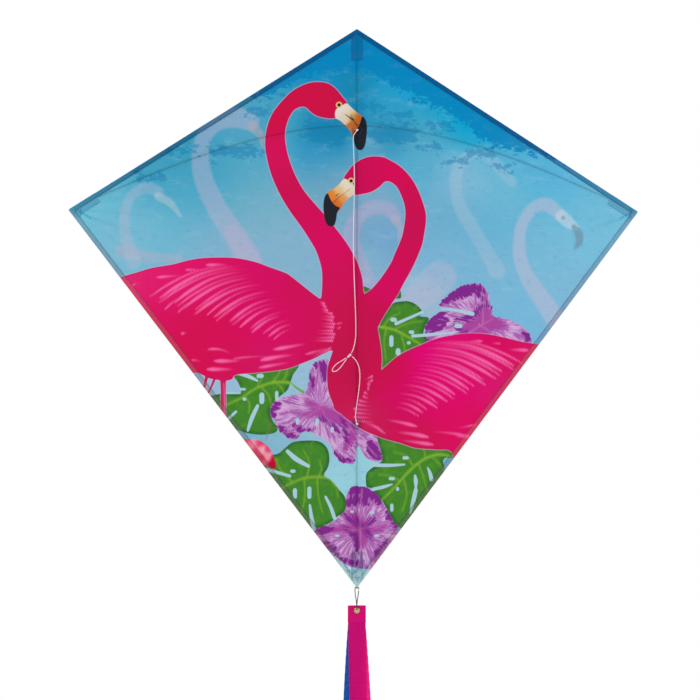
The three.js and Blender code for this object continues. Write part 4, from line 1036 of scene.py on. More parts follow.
colour = lay(cloth, inside("eye_edge", 0.05, soft=0.5), colour, (226, 196, 130))
colour = lay(cloth, inside("ink_edge", 0.05, soft=0.5), colour, (46, 26, 22))
edge = kept(cloth, "cloth_edge")
upper = ramp(cloth, wire(cloth, "ShaderNodeSeparateXYZ", {0: flat_mm}, 1), LENGTH - 235, LENGTH - 210)
# Painted shade along the upper hems, where the cloth lies double and less light comes through it, and painted
# light along the lower hems, which lifts them against the hem behind.
hem_painted_shade_and_light = lay(cloth, upper, (255, 246, 240), (188, 222, 238))
hem_painted_shade_and_light = wire(cloth, "ShaderNodeVectorMath", {0: colour, 1: hem_painted_shade_and_light}, operation="MULTIPLY")
hem_painted_shade_and_light = wire(cloth, "ShaderNodeVectorMath", {0: hem_painted_shade_and_light, "Scale": ramp(cloth, upper, 0, 1, 1.1, 1.0)},
    operation="SCALE")
hem_painted_shade_and_light = lay(cloth, ramp(cloth, upper, 0, 1, 0.1, 0), hem_painted_shade_and_light, (255, 226, 246))
colour = lay(cloth, ramp(cloth, edge, 5.7, 4.9), colour, hem_painted_shade_and_light)
# A painted dark line along each hem seam and the other seams: partly the blue thread, partly painted shade where
# the cloth is drawn in. It is strong on the upper hems and faint on the lower ones.
seam_line_thread_and_shade = sums(cloth, "SUBTRACT", ramp(cloth, edge, 6.1, 5.3), ramp(cloth, edge, 4.9, 4.1))
seam_line_thread_and_shade = sums(cloth, "MAXIMUM", sums(cloth, "MULTIPLY", seam_line_thread_and_shade,
    sums(cloth, "MULTIPLY_ADD", upper, 0.5, 0.1)), kept(cloth, "seam_thread_and_painted_shade"))
thread_blue_and_painted_shade = wire(cloth, "ShaderNodeVectorMath", {0: colour, 1: (0.1, 0.4, 0.52)}, operation="MULTIPLY")
colour = lay(cloth, seam_line_thread_and_shade, colour, thread_blue_and_painted_shade)
ripstop, crossing = weave_height(cloth, flat_mm, 0.62, 3.6)
colour = wire(cloth, "ShaderNodeHueSaturation", {
    "Color": colour, "Value": sums(cloth, "MULTIPLY_ADD", ripstop, -0.075, sums(
        cloth, "MULTIPLY_ADD", broad_noise, 0.07, 1.0))})
height = sums(cloth, "ADD", sums(cloth, "MULTIPLY", ripstop, 0.7), sums(cloth, "MULTIPLY", crossing, 0.25))
long_folds = noise(cloth, wire(cloth, "ShaderNodeMapping", {0: flat_mm, 3: (0.012, 0.16, 1)}), 1.0, 3)
puckers = sums(cloth, "MULTIPLY", ramp(cloth, edge, 26, 3), sums(cloth, "SUBTRACT",
    noise(cloth, flat_mm, 0.13, 2), 0.5))
bump = wire(cloth, "ShaderNodeBump", {"Strength": 0.35, "Distance": 0.06 * MM, "Height": height})
bump = wire(cloth, "ShaderNodeBump", {
    "Strength": 0.5, "Distance": 1.4 * MM, "Normal": bump,
    "Height": sums(cloth, "ADD", sums(cloth, "MULTIPLY", long_folds, 0.5), puckers)})
face = cloth.node_tree.nodes.new("ShaderNodeBsdfPrincipled")
face.inputs["Roughness"].default_value = 0.52
face.inputs["Specular IOR Level"].default_value = 0.06
face.inputs["Sheen Weight"].default_value = 0.03
cloth.node_tree.links.new(colour, face.inputs["Base Color"])
cloth.node_tree.links.new(bump, face.inputs["Normal"])
through = wire(cloth, "ShaderNodeBsdfTranslucent", {"Color": colour, "Normal": bump})
body = wire(cloth, "ShaderNodeMixShader", {0: 0.34, 1: face.outputs[0], 2: through})
clear = wire(cloth, "ShaderNodeBsdfTransparent", {"Color": colour})
body = wire(cloth, "ShaderNodeMixShader", {0: 0.2, 1: body, 2: clear})
wire(cloth, "ShaderNodeOutputMaterial", {0: body})
sail.data.materials.append(print_cloth)
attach(sail, "kite")
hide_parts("sail")

# ---- Hems
# ---------------------------------------------------------------------------------------------------------
# Each edge of the sail is folded to the back over 6 mm and sewn down, so the hems carry the same print, with the
# hem band's painted shade and light.
# The four
# strips are mitred at the corners.


def diamond_corner(inset, side):
    """The corner (x, drop) of the diamond drawn inside the cloth's edge by an inset: nose, right, tail,
    left."""
    upper, lower = math.atan2(NOSE_TO_TIPS, HALF), math.atan2(LENGTH - NOSE_TO_TIPS, HALF)
    top, end = inset / math.cos(upper), LENGTH - inset / math.cos(lower)
    half = (end - top) / (math.tan(upper) + math.tan(lower))
    return np.array([(0, top), (half, top + half * math.tan(upper)), (0, end),
        (-half, top + half * math.tan(upper))][side])


def wear_print(piece, x, drop, source, hem_edge=3.0):
    """Gives a piece sewn from the sail's cloth the print of the sail's points named by source; its distance from
    the cloth's edge is set to hem_edge, which puts it in the hem band of painted shade and light.
    """
    for layer in list(sail.data.attributes):
        if layer.name == "cloth_edge":
            values = np.full(len(source), hem_edge)
        elif layer.domain == "POINT" and layer.data_type in ("FLOAT", "FLOAT_COLOR", "FLOAT_VECTOR"):
            wide, field = {"FLOAT": (1, "value"), "FLOAT_COLOR": (4, "color"),
                "FLOAT_VECTOR": (3, "vector")}[layer.data_type]
            values = np.zeros(len(X) * wide, np.float32)
            layer.data.foreach_get(field, values)
            values = values.reshape(-1, wide)[source].ravel()
        else:
            continue
        made = piece.data.attributes.new(layer.name, layer.data_type, "POINT")
        if layer.name == "cloth_edge":
            field = "value"
        made.data.foreach_set(field, values.astype(np.float32))
    lay_map(piece, x / SPAN + 0.5, 1 - drop / LENGTH)
    piece.data.materials.append(print_cloth)


def lay_map(piece, u, v):
    """Puts a UV map on a piece from each point's own u and v."""
    corners = np.zeros(len(piece.data.loops), int)
    piece.data.loops.foreach_get("vertex_index", corners)
    piece.data.uv_layers.new(name="UVMap").data.foreach_set("uv",
        np.c_[u.ravel(), v.ravel()][corners].ravel())


def strip_faces(rows, sides):
    """Quads over rows of closed rings, with a cap at each end."""
    row, column = np.arange(rows - 1)[:, None] * sides, np.arange(sides)[None, :]
    after = (column + 1) % sides
    faces = np.stack([row + column, row + after, row + sides + after, row + sides + column], -1).reshape(-1,
        4).tolist()
    return faces + [list(range(sides))[::-1], list(range((rows - 1) * sides, rows * sides))]


# The fold's section, as inset from the edge and distance behind the cloth's middle.
HEM_SECTION = np.array([(0.1, 0.3), (-0.12, 0.3), (-0.2, 0.55), (-0.1, 0.9), (0.4, 1.1), (2.4, 1.06),
    (4.6, 1.0),
                        (5.1, 0.86), (5.4, 1.0), (6.0, 0.98), (6.1, 0.8), (5.9, 0.62), (5.1, 0.66),
                        (2.4, 0.62), (0.5, 0.6)])
rows_grid = np.arange((SAIL_CELLS + 1) ** 2).reshape(SAIL_CELLS + 1, SAIL_CELLS + 1)
hem_lattices = [rows_grid, rows_grid[:, ::-1].T, rows_grid[::-1, ::-1], rows_grid[::-1].T]
for side, node in enumerate(["hem_upper_right", "hem_lower_right", "hem_lower_left", "hem_upper_left"]):
    steps = np.arange(0, SAIL_CELLS + 1, 2)
    along = np.clip(steps / SAIL_CELLS, 0.0014, 0.9986)
    start = np.array([diamond_corner(w, side) for w in HEM_SECTION[:, 0]])
    finish = np.array([diamond_corner(w, (side + 1) % 4) for w in HEM_SECTION[:, 0]])
    spot = start[None] + along[:, None, None] * (finish - start)[None]
    hem = add_mesh(node + "_fold", place(spot[..., 0], spot[..., 1], HEM_SECTION[None, :, 1]).reshape(-1, 3),
                   strip_faces(len(steps), len(HEM_SECTION)))
    fix_normals(hem)
    lattice = hem_lattices[side]
    pitch = max(float(edge_of_cloth[lattice[1, SAIL_CELLS // 2]]), 0.5)
    inward = np.clip(np.round(HEM_SECTION[:, 0] / pitch), 0, 8).astype(int)
    wear_print(hem, spot[..., 0].ravel(), spot[..., 1].ravel(),
        lattice[inward[None, :], steps[:, None]].ravel())
    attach(hem, "kite")
    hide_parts(node)

# ---- Stitching
# ----------------------------------------------------------------------------------------------------
# Dark blue polyester thread, a stitch every 2.6 mm, runs down the inner edge of each hem, round the nose
# and tail
# pockets, across the wing pockets and round both bridle patches. It shows on the face and on the back.
THREAD = 0.34
STITCH = 2.6
thread_material, nodes, links, shader = simple_material("blue_thread", linear(20, 62, 98), 0.6, sheen=0.4)
ply = nodes.new("ShaderNodeTexWave")
ply.inputs["Scale"].default_value = 900
ply.inputs["Distortion"].default_value = 2
shade = nodes.new("ShaderNodeMix")
shade.data_type = "RGBA"
shade.inputs[6].default_value = (*linear(12, 44, 76), 1)
shade.inputs[7].default_value = (*linear(36, 92, 134), 1)
links.new(nodes.new("ShaderNodeTexCoord").outputs["Object"], ply.inputs["Vector"])
links.new(ply.outputs["Fac"], shade.inputs[0])
links.new(shade.outputs[2], shader.inputs["Base Color"])


def sewn(lines, back, name, body="kite", material=None, thread=THREAD, pitch=STITCH):
    """Stitches along lines of (x, drop): each a small spindle of six-sided rings lying on the cloth, its
    middle proud and its ends sunk."""
    starts, ends = [], []
    for line in lines:
        line = np.asarray(line, float)
        run = np.r_[0, np.cumsum(np.hypot(*np.diff(line, axis=0).T))]
        at = np.arange(0.4, run[-1] - 0.4, pitch)
        starts.append(np.c_[np.interp(at, run, line[:, 0]), np.interp(at, run, line[:, 1])])
        ends.append(np.c_[np.interp(at + 0.78 * pitch, run, line[:, 0]),
            np.interp(at + 0.78 * pitch, run, line[:, 1])])
    starts, ends = np.vstack(starts), np.vstack(ends)
    k = np.array([0, 0.2, 0.5, 0.8, 1.0])
    thick = thread / 2 * np.array([0.35, 0.9, 1, 0.9, 0.35])
    middle = starts[:, None] + k[None, :, None] * (ends - starts)[:, None]
    ahead = (ends - starts) / np.hypot(*(ends - starts).T)[:, None]
    side = np.c_[-ahead[:, 1], ahead[:, 0]]
    angle = np.linspace(0, 2 * math.pi, 6, endpoint=False)
    spread = thick[None, :, None] * np.cos(angle)[None, None, :]
    x = middle[..., 0:1] + spread * side[:, None, 0:1]
    d = middle[..., 1:2] + spread * side[:, None, 1:2]
    lift = np.sign(back) * thick[None, :, None] * (0.55 + np.sin(angle)[None, None, :])
    points = place(x, d, back + lift).reshape(-1, 3)
    one = strip_faces(5, 6)
    faces = [[index + 30 * stitch for index in face] for stitch in range(len(starts)) for face in one]
    piece = fix_normals(add_mesh(name, points, faces))
    piece.data.materials.append(material or thread_material)
    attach(piece, body)
    return piece


seam = [diamond_corner(5.3, side) for side in (0, 1, 2, 3, 0)]
hem_lines = [seam[side : side + 2] for side in range(4)]
nose_lines = [[(-6, 8), (-6, 36.4), (6, 36.4), (6, 8), (-6, 8)]]
tail_lines = [[(-6.3, 634), (-6.3, 663), (6.3, 663), (6.3, 634), (-6.3, 634)], [(-6.3, 660), (6.3, 648)]]
upper_edge = np.array([HALF, NOSE_TO_TIPS]) / math.hypot(HALF, NOSE_TO_TIPS)
wing_lines = []
for side in (-1, 1):
    wing_lines += [[(side * (HALF - a * upper_edge[0] - w * upper_edge[1]),
        NOSE_TO_TIPS - a * upper_edge[1] + w * upper_edge[0])
                    for a, w in line] for line in ([(7, -0.2), (7, 11)], [(10, 12), (36, 12)])]
hole_drops = [NOSE_Z * 1000 + 6, NOSE_Z * 1000 + 361]
ring_angle = np.linspace(0, 2 * math.pi, 25)
patch_lines = [np.c_[5.6 * np.cos(ring_angle), hole + 5.6 * np.sin(ring_angle)] for hole in hole_drops]
sewn([*hem_lines, *nose_lines, *tail_lines, *wing_lines, *patch_lines], -0.02, "face_stitching")
sewn(hem_lines, 1.02, "hem_back_stitching")

# ---- Nose, tail and wing pockets
# ----------------------------------------------------------------------------------
# Strips of pale blue nylon on the back, humped over the capped rod ends, sewn flat on both sides and
# closed at the
# outer end. The wing pockets lie along the upper hems.
POCKET_CLOTH = 0.5


def woven(name, dark, light, pitch, roughness=0.55, through=0.2, fold=0.4):
    """A woven cloth's material: two tones, a thread bump on the piece's own map in mm, soft folds and some
    light through it."""
    material = bpy.data.materials.new(name)
    material.use_nodes = True
    material.node_tree.nodes.clear()
    where = wire(material, "ShaderNodeMapping", {0: wire(material, "ShaderNodeUVMap", {}, uv_map="UVMap"),
        3: (1000, 1000, 1)})
    tone = lay(material, ramp(material, noise(material, where, 0.35, 4, 0.6), 0.3, 0.7), dark, light)
    apart = wire(material, "ShaderNodeSeparateXYZ", {0: where})
    threads = [sums(material, "SINE", sums(material, "MULTIPLY", way, 2 * math.pi / pitch))
               for way in (apart, apart.node.outputs[1])]
    crossing = sums(material, "MULTIPLY", threads[0], threads[1])
    tone = wire(material, "ShaderNodeHueSaturation", {"Color": tone,
        "Value": ramp(material, crossing, -1, 1, 0.95, 1.04)})
    bump = wire(material, "ShaderNodeBump", {"Strength": 0.5, "Distance": 0.08 * MM, "Height": crossing})
    bump = wire(material, "ShaderNodeBump", {"Strength": fold, "Distance": 1.0 * MM, "Normal": bump,
                                             "Height": noise(material, where, 0.06, 3, 0.5)})
    face = material.node_tree.nodes.new("ShaderNodeBsdfPrincipled")
    face.inputs["Roughness"].default_value = roughness
    face.inputs["Sheen Weight"].default_value = 0.04
    face.inputs["Specular IOR Level"].default_value = 0.12
    material.node_tree.links.new(tone, face.inputs["Base Color"])
    material.node_tree.links.new(bump, face.inputs["Normal"])
    glow = wire(material, "ShaderNodeBsdfTranslucent", {"Color": tone, "Normal": bump})
    clear = wire(material, "ShaderNodeBsdfTransparent", {"Color": tone})
    both = wire(material, "ShaderNodeMixShader", {0: through, 1: face.outputs[0], 2: glow})
    wire(material, "ShaderNodeOutputMaterial",
        {0: wire(material, "ShaderNodeMixShader", {0: through, 1: both, 2: clear})})
    return material


pocket_material = woven("pocket_nylon", (150, 204, 224), (180, 224, 238), 0.5, through=0.5)


def closed_sheet(name, inner, outer, material, u, v):
    """A closed shell from two grids of points, an inner and an outer face of one cloth, joined round the
    rim."""
    rows, columns = inner.shape[:2]
    index = np.arange(rows * columns).reshape(rows, columns)
    quads = np.stack([index[:-1, :-1], index[:-1, 1:], index[1:, 1:], index[1:, :-1]], -1).reshape(-1, 4)
    rim = np.r_[index[0, :-1], index[:-1, -1], index[-1, :0:-1], index[:0:-1, 0]]
    after, shift = np.roll(rim, -1), rows * columns
    faces = quads[:, ::-1].tolist() + (quads + shift).tolist()
    faces += np.stack([rim, after, after + shift, rim + shift], -1).tolist()
    piece = fix_normals(add_mesh(name, np.vstack([inner.reshape(-1, 3), outer.reshape(-1, 3)]), faces))
    lay_map(piece, np.r_[u.ravel(), u.ravel()] * MM, np.r_[v.ravel(), v.ravel()] * MM)
    piece.data.materials.append(material)
    return piece


spine_y = 1000 * 0.5 * (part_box("spine_rod")[0][1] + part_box("spine_rod")[1][1])
for node, half_width, top, bottom, closed_top in (
    ("nose_pocket", 6.4, 5.6, 37.0, True), ("tail_pocket", 6.6, 632.0, 666.4, False),
):
    x, d = np.meshgrid(np.linspace(-half_width, half_width, 33), np.linspace(top, bottom, 61))
    hump = smooth_step(4.0, 1.3, np.abs(x))
    taper = smooth_step(top + 0.2, top + 2.0, d) if closed_top else smooth_step(bottom - 0.2, bottom - 2.0, d)
    flat_back = cloth_y(x, d) + 1.55
    crumple = 0.15 * np.sin(d * 0.9 + x) * smooth_step(0, 2, np.abs(x)) * smooth_step(half_width,
        half_width - 2, np.abs(x))
    inner_y = flat_back + (spine_y + 2.65 - flat_back) * hump * taper + crumple
    z = 1000 * NOSE_Z - d
    pocket = closed_sheet(node + "_cloth", np.stack([x, inner_y, z], -1) * MM,
                          np.stack([x, inner_y + POCKET_CLOTH, z], -1) * MM, pocket_material, x, d)
    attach(pocket, "kite")
    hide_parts(node)
for side, node in ((-1, "wing_pocket_left"), (1, "wing_pocket_right")):
    w, a = np.meshgrid(np.linspace(-0.5, 13, 41), np.linspace(1.5, 38, 61))
    x = side * (HALF - a * upper_edge[0] - w * upper_edge[1])
    x = np.where(side * x < 0.5, side * 0.5, x)
    d = NOSE_TO_TIPS - a * upper_edge[1] + w * upper_edge[0]
    w_room = smooth_step(0, 1, (a - 1.5) / 12)
    hump = smooth_step(-0.5, 1.7, w) * smooth_step(12, 7.2, w) * w_room
    lower_edge = NOSE_TO_TIPS + (HALF - np.abs(x)) * (LENGTH - NOSE_TO_TIPS) / HALF - 0.5
    d = np.minimum(d, lower_edge)
    inner_y = cloth_y(x, d) + 1.5 + 5.2 * hump + 0.15 * np.sin(a * 0.8) * smooth_step(6, 9, w)
    z = 1000 * NOSE_Z - d
    pocket = closed_sheet(node + "_cloth", np.stack([x, inner_y, z], -1) * MM,
                          np.stack([x, inner_y + POCKET_CLOTH, z], -1) * MM, pocket_material, w, a)
    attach(pocket, "kite")
    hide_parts(node)

# ---- Bridle patches and ties
# --------------------------------------------------------------------------------------
# A round patch behind each bridle hole, and a tie of the bridle line that passes through the hole, round
# the spine
# and back, where it is knotted in front of the cloth.
for node, hole in zip(("bridle_patch_upper", "bridle_patch_lower"), hole_drops):
    radius, angle = np.meshgrid([1.7, 2.1, 3.5, 5.2, 6.5, 6.9],
        np.linspace(0, 2 * math.pi, 48, endpoint=False))
    x, d = radius * np.cos(angle), hole + radius * np.sin(angle)
    sink = 0.16 * np.exp(-((radius - 5.4) / 0.5) ** 2)
    spokes = radius.shape[0]
    inner, outer = place(x, d, 0.75), place(x, d, 1.15 - sink)
    section = np.concatenate([inner, outer[:, ::-1]], 1)
    sides = section.shape[1]
    row = np.arange(spokes)[:, None] * sides
    column = np.arange(sides)[None, :]
    after, low = (column + 1) % sides, np.roll(row, -1, 0)
    patch = fix_normals(add_mesh(node + "_disc", section.reshape(-1, 3),
                                 np.stack([row + column, row + after, low + after, low + column],
                                 -1).reshape(-1, 4)))
    lay_map(patch, np.concatenate([x, x[:, ::-1]], 1) * MM, np.concatenate([d, d[:, ::-1]], 1) * MM)
    patch.data.materials.append(pocket_material)
    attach(patch, "kite")
    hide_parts(node)


def join_pieces(name, pieces):
    """One piece from several, with their meshes kept as they are."""
    points, faces, offset = [], [], 0
    for piece in pieces:
        place_of = np.zeros(len(piece.data.vertices) * 3)
        piece.data.vertices.foreach_get("co", place_of)
        points.append(place_of.reshape(-1, 3))
        faces += [[vertex + offset for vertex in face.vertices] for face in piece.data.polygons]
        offset += len(piece.data.vertices)
        bpy.data.objects.remove(piece)
    return add_mesh(name, np.vstack(points), faces)


def trefoil(centre, size, line):
    """A pulled-down overhand knot: the closed curve (sin t + 2 sin 2t, cos t - 2 cos 2t, -sin 3t), squashed
    to size."""
    t = np.linspace(0, 2 * math.pi, 90, endpoint=False)
    curve = np.c_[np.sin(t) + 2 * np.sin(2 * t), -np.sin(3 * t) * 1.5, np.cos(t) - 2 * np.cos(2 * t)] / 3
    return swept("turn", (np.asarray(centre) + curve * np.asarray(size)) * MM, line * MM / 2, sides=10,
                 beside=(0.3, 1, 0.2), lobes=3, lobe_depth=0.08, turn_length=4 * MM, closed=True)


spine_round = 1.5 + 0.3 + 0.45
for node, drop_z in zip(("bridle_tie_upper", "bridle_tie_lower"), (-6.0, -361.0)):
    low, high = np.array(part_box(node)) * 1000
    knot_y = low[1] + 1.0
    behind = CLOTH_MIDDLE + 1.4
    loop = smooth_path(np.array([
        (-0.8, knot_y, drop_z), (-0.8, behind, drop_z), (-spine_round, spine_y - 0.4, drop_z),
        (-0.7 * spine_round, spine_y + 0.75 * spine_round, drop_z), (0, spine_y + spine_round, drop_z),
        (0.7 * spine_round, spine_y + 0.75 * spine_round, drop_z), (spine_round, spine_y - 0.4, drop_z),
        (0.8, behind, drop_z), (0.8, knot_y, drop_z),
    ]) * MM, 8)
    strand = swept("strand", loop, CORD / 2, sides=12, beside=(0, 0, 1), lobes=3, lobe_depth=0.09,
        turn_length=LAY_TURN)
    tie = fix_normals(join_pieces(node + "_cord", [strand,
        trefoil((0, knot_y + 0.1, drop_z), (1.35, 0.55, 1.1), 0.9)]))
    tie.data.materials.append(line_material)
    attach(tie, "kite")
    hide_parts(node)

# ---- Bridle knot and tow loop
# -------------------------------------------------------------------------------------
# The two legs are knotted together round the base of a small hanging loop: four turns of line drawn down
# tight.
KNOT_AT = np.array([-10.6, -31, -278.6])
LOOP_WAY = np.array([-0.73, 0, -0.68]) / math.hypot(0.73, 0.68)
LOOP_SIDE = np.array([-LOOP_WAY[2], 0, LOOP_WAY[0]])
KNOT_LONG, KNOT_WIDE = 6.8, 3.0
turns = np.linspace(0, 11 * math.pi, 200)
reach = (KNOT_WIDE - 0.9) / 2 * (0.72 + 0.28 * np.sin(turns / 8))
coil = KNOT_AT + LOOP_WAY * ((turns / (11 * math.pi) - 0.5) * (KNOT_LONG - 1.3))[:, None] \
    + LOOP_SIDE * (reach * np.cos(turns))[:, None] + np.array([0, 1, 0]) * (reach * np.sin(turns))[:, None]
core = KNOT_AT + LOOP_WAY * np.linspace(-KNOT_LONG / 2 + 0.2, KNOT_LONG / 2 - 0.3, 12)[:, None]
knot = fix_normals(join_pieces("bridle_knot_turns", [
    swept("coil", coil * MM, 0.45 * MM, sides=12, beside=LOOP_WAY, lobes=3, lobe_depth=0.08,
    turn_length=LAY_TURN),
    swept("core", core * MM, 0.8 * MM, sides=12, beside=(0, 1, 0)),
]))
knot.data.materials.append(line_material)
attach(knot, "bridle")
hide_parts("bridle_knot")
loop_points = [KNOT_AT + LOOP_WAY * (KNOT_LONG / 2 + down) + LOOP_SIDE * aside for down, aside in (
    (1.2, -0.65), (6, -1.525), (14.4, -3.05), (21.12, -2.44), (24, 0), (21.12, 2.44), (14.4, 3.05),
    (6, 1.525), (1.2, 0.65))]
loop_path = smooth_path(np.array(loop_points) * MM, 22)
tow_loop = fix_normals(swept("tow_loop_line", loop_path, CORD / 2, sides=18, beside=(0, 1, 0), lobes=3,
    lobe_depth=0.09,
                             turn_length=LAY_TURN))
tow_loop.data.materials.append(line_material)
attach(tow_loop, "tow_loop")
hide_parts("tow_loop")

# ---- Rods, end caps and centre fitting
# ----------------------------------------------------------------------------
# The spine and the bowed cross spar are solid black fibreglass. Their ends wear soft vinyl caps, and a
# moulded nylon
# fitting holds the two rods where they cross.
rod_material, nodes, links, shader = simple_material("black_fibreglass", linear(34, 36, 40), 0.34)
fibres = nodes.new("ShaderNodeTexNoise")
fibres.inputs["Scale"].default_value = 1200
fibres.inputs["Detail"].default_value = 4
shade = nodes.new("ShaderNodeMix")
shade.data_type = "RGBA"
shade.inputs[6].default_value = (*linear(24, 25, 28), 1)
shade.inputs[7].default_value = (*linear(58, 60, 64), 1)
rough = nodes.new("ShaderNodeMapRange")
rough.inputs["To Min"].default_value = 0.26
rough.inputs["To Max"].default_value = 0.5
links.new(nodes.new("ShaderNodeTexCoord").outputs["Object"], fibres.inputs["Vector"])
links.new(fibres.outputs["Fac"], shade.inputs[0])
links.new(fibres.outputs["Fac"], rough.inputs["Value"])
links.new(shade.outputs[2], shader.inputs["Base Color"])
links.new(rough.outputs["Result"], shader.inputs["Roughness"])


def moulded(name, colour, low, high, grain, depth):
    """A moulded plastic: one colour with a fine grain in its gloss and its surface."""
    material, nodes, links, shader = simple_material(name, colour, low)
    texture = nodes.new("ShaderNodeTexNoise")
    texture.inputs["Scale"].default_value = grain
    texture.inputs["Detail"].default_value = 3
    gloss, relief = nodes.new("ShaderNodeMapRange"), nodes.new("ShaderNodeBump")
    gloss.inputs["To Min"].default_value, gloss.inputs["To Max"].default_value = low, high
    relief.inputs["Strength"].default_value, relief.inputs["Distance"].default_value = 0.35, depth
    tint = nodes.new("ShaderNodeMix")
    tint.data_type = "RGBA"
    tint.inputs[6].default_value = (*colour, 1)
    tint.inputs[7].default_value = (*(np.array(colour) * 1.8), 1)
    links.new(nodes.new("ShaderNodeTexCoord").outputs["Object"], texture.inputs["Vector"])
    links.new(texture.outputs["Fac"], gloss.inputs["Value"])
    links.new(texture.outputs["Fac"], relief.inputs["Height"])
    links.new(texture.outputs["Fac"], tint.inputs[0])
    links.new(gloss.outputs["Result"], shader.inputs["Roughness"])
    links.new(relief.outputs["Normal"], shader.inputs["Normal"])
    links.new(tint.outputs[2], shader.inputs["Base Color"])
    return material


nylon = moulded("black_nylon", linear(27, 28, 31), 0.38, 0.55, 2200, 0.05 * MM)
vinyl = moulded("black_vinyl", linear(23, 24, 26), 0.5, 0.68, 1500, 0.04 * MM)
for node, finish in (("spine_rod", rod_material), ("cross_spar", rod_material), ("centre_fitting", nylon),
                     ("nose_cap", vinyl), ("tail_cap", vinyl), ("wing_cap_left", vinyl),
                     ("wing_cap_right", vinyl)):
    for holder in bpy.data.objects[node].material_slots:
        holder.material = finish

# ---- Tail tape and wire clip
# --------------------------------------------------------------------------------------
# A loop of narrow tape sewn at the tail point carries a clip bent from one bronzed steel wire.
tape_low, tape_high = np.array(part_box("tail_loop")) * 1000
pivot = np.array([0, (tape_low[1] + tape_high[1]) / 2, tape_low[2] + 1.8])
bend = np.linspace(math.pi, 2 * math.pi, 17)
tape_top = tape_high[2] - 0.3
tape_path = np.vstack([np.c_[np.zeros(17), pivot[1] + 1.5 * np.cos(bend), pivot[2] + 1.5 * np.sin(bend)],
                       [(0, pivot[1] + 1.5, pivot[2] + 3), (0, pivot[1] + 1.45, tape_top - 0.6),
                        (0, pivot[1] + 1.0, tape_top), (0, pivot[1] - 1.0, tape_top),
                        (0, pivot[1] - 1.45, tape_top - 0.6),
                        (0, pivot[1] - 1.5, pivot[2] + 3)]])


def swept_band(name, path, wide, thick):
    """A closed band: a rounded flat section, wide along X and thick in the plane of its path."""
    ahead = np.roll(path, -1, 0) - np.roll(path, 1, 0)
    ahead /= np.linalg.norm(ahead, axis=1)[:, None]
    out = np.c_[np.zeros(len(path)), -ahead[:, 2], ahead[:, 1]]
    angle = np.linspace(0, 2 * math.pi, 16, endpoint=False)
    flat = np.sign(np.cos(angle)) * np.abs(np.cos(angle)) ** 0.35 * wide / 2
    proud = np.sign(np.sin(angle)) * np.abs(np.sin(angle)) ** 0.6 * thick / 2
    points = path[:, None] + flat[None, :, None] * np.array([1, 0, 0]) + proud[None, :, None] * out[:, None]
    sides, row = 16, np.arange(len(path))[:, None] * 16
    column = np.arange(sides)[None, :]
    after, low = (column + 1) % sides, np.roll(row, -1, 0)
    return fix_normals(add_mesh(name, points.reshape(-1, 3) * MM, np.stack(
        [row + column, row + after, low + after, low + column], -1).reshape(-1, 4)))


tape = swept_band("tail_tape", tape_path, 2.3, 0.56)
tape_v = np.repeat(np.arange(len(tape_path)) * 1.2, 16)
lay_map(tape, np.tile(np.cos(np.linspace(0, 2 * math.pi, 16, endpoint=False)), len(tape_path)) * MM,
    tape_v * MM)
tape.data.materials.append(woven("tail_tape_weave", (40, 104, 140), (72, 140, 172), 0.6, through=0.05))
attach(tape, "kite")
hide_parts("tail_loop")

CLIP_HALF, PAST_TAB = 2.2, 2.1
CLIP_ROUTE = [
    (1, 0.3, -3.1), (1, 0.1, -2.4), (0.93, 0, -0.9), (0.55, 0, -0.12), (0, 0, 0), (-0.55, 0, -0.12),
    (-0.93, 0, -0.9),
    (-1, -0.1, -2.4), (-0.98, -0.5, -6), (-0.72, -1.25, -11), (-0.42, -1.8, -15), (-0.2, -PAST_TAB, -20),
    (0, -PAST_TAB, -25.6), (0, -0.93 * PAST_TAB, -27.25), (0, -0.62 * PAST_TAB, -27.92), (0, 0, -28),
    (0, 0.62 * PAST_TAB, -27.92), (0, 0.93 * PAST_TAB, -27.25), (0, PAST_TAB, -25.6), (0.2, PAST_TAB, -20),
    (0.42, 1.8, -15), (0.72, 1.25, -11), (0.98, 0.6, -6), (1, 0.4, -4.2),
]
clip_path = smooth_path(pivot + np.array(CLIP_ROUTE) * np.array([CLIP_HALF, 1, 1]), 12) * MM
ends = smooth_step(0, 4, np.minimum(np.arange(len(clip_path)), np.arange(len(clip_path))[::-1]))
clip = fix_normals(swept("tail_clip_wire", clip_path, 0.55 * MM * (0.55 + 0.45 * ends), sides=14,
    beside=(0.13, 1, 0.21)))
bronze, nodes, links, shader = simple_material("bronzed_wire", linear(84, 74, 64), 0.32, metallic=0.85)
tarnish = nodes.new("ShaderNodeTexNoise")
tarnish.inputs["Scale"].default_value = 500
tarnish.inputs["Detail"].default_value = 5
tone = nodes.new("ShaderNodeMix")
tone.data_type = "RGBA"
tone.inputs[6].default_value = (*linear(52, 46, 40), 1)
tone.inputs[7].default_value = (*linear(108, 94, 78), 1)
gloss = nodes.new("ShaderNodeMapRange")
gloss.inputs["To Min"].default_value = 0.24
gloss.inputs["To Max"].default_value = 0.46
links.new(nodes.new("ShaderNodeTexCoord").outputs["Object"], tarnish.inputs["Vector"])
links.new(tarnish.outputs["Fac"], tone.inputs[0])
links.new(tarnish.outputs["Fac"], gloss.inputs["Value"])
links.new(tone.outputs[2], shader.inputs["Base Color"])
links.new(gloss.outputs["Result"], shader.inputs["Roughness"])
clip.data.materials.append(bronze)
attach(clip, "tail_clip")
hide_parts("tail_clip")

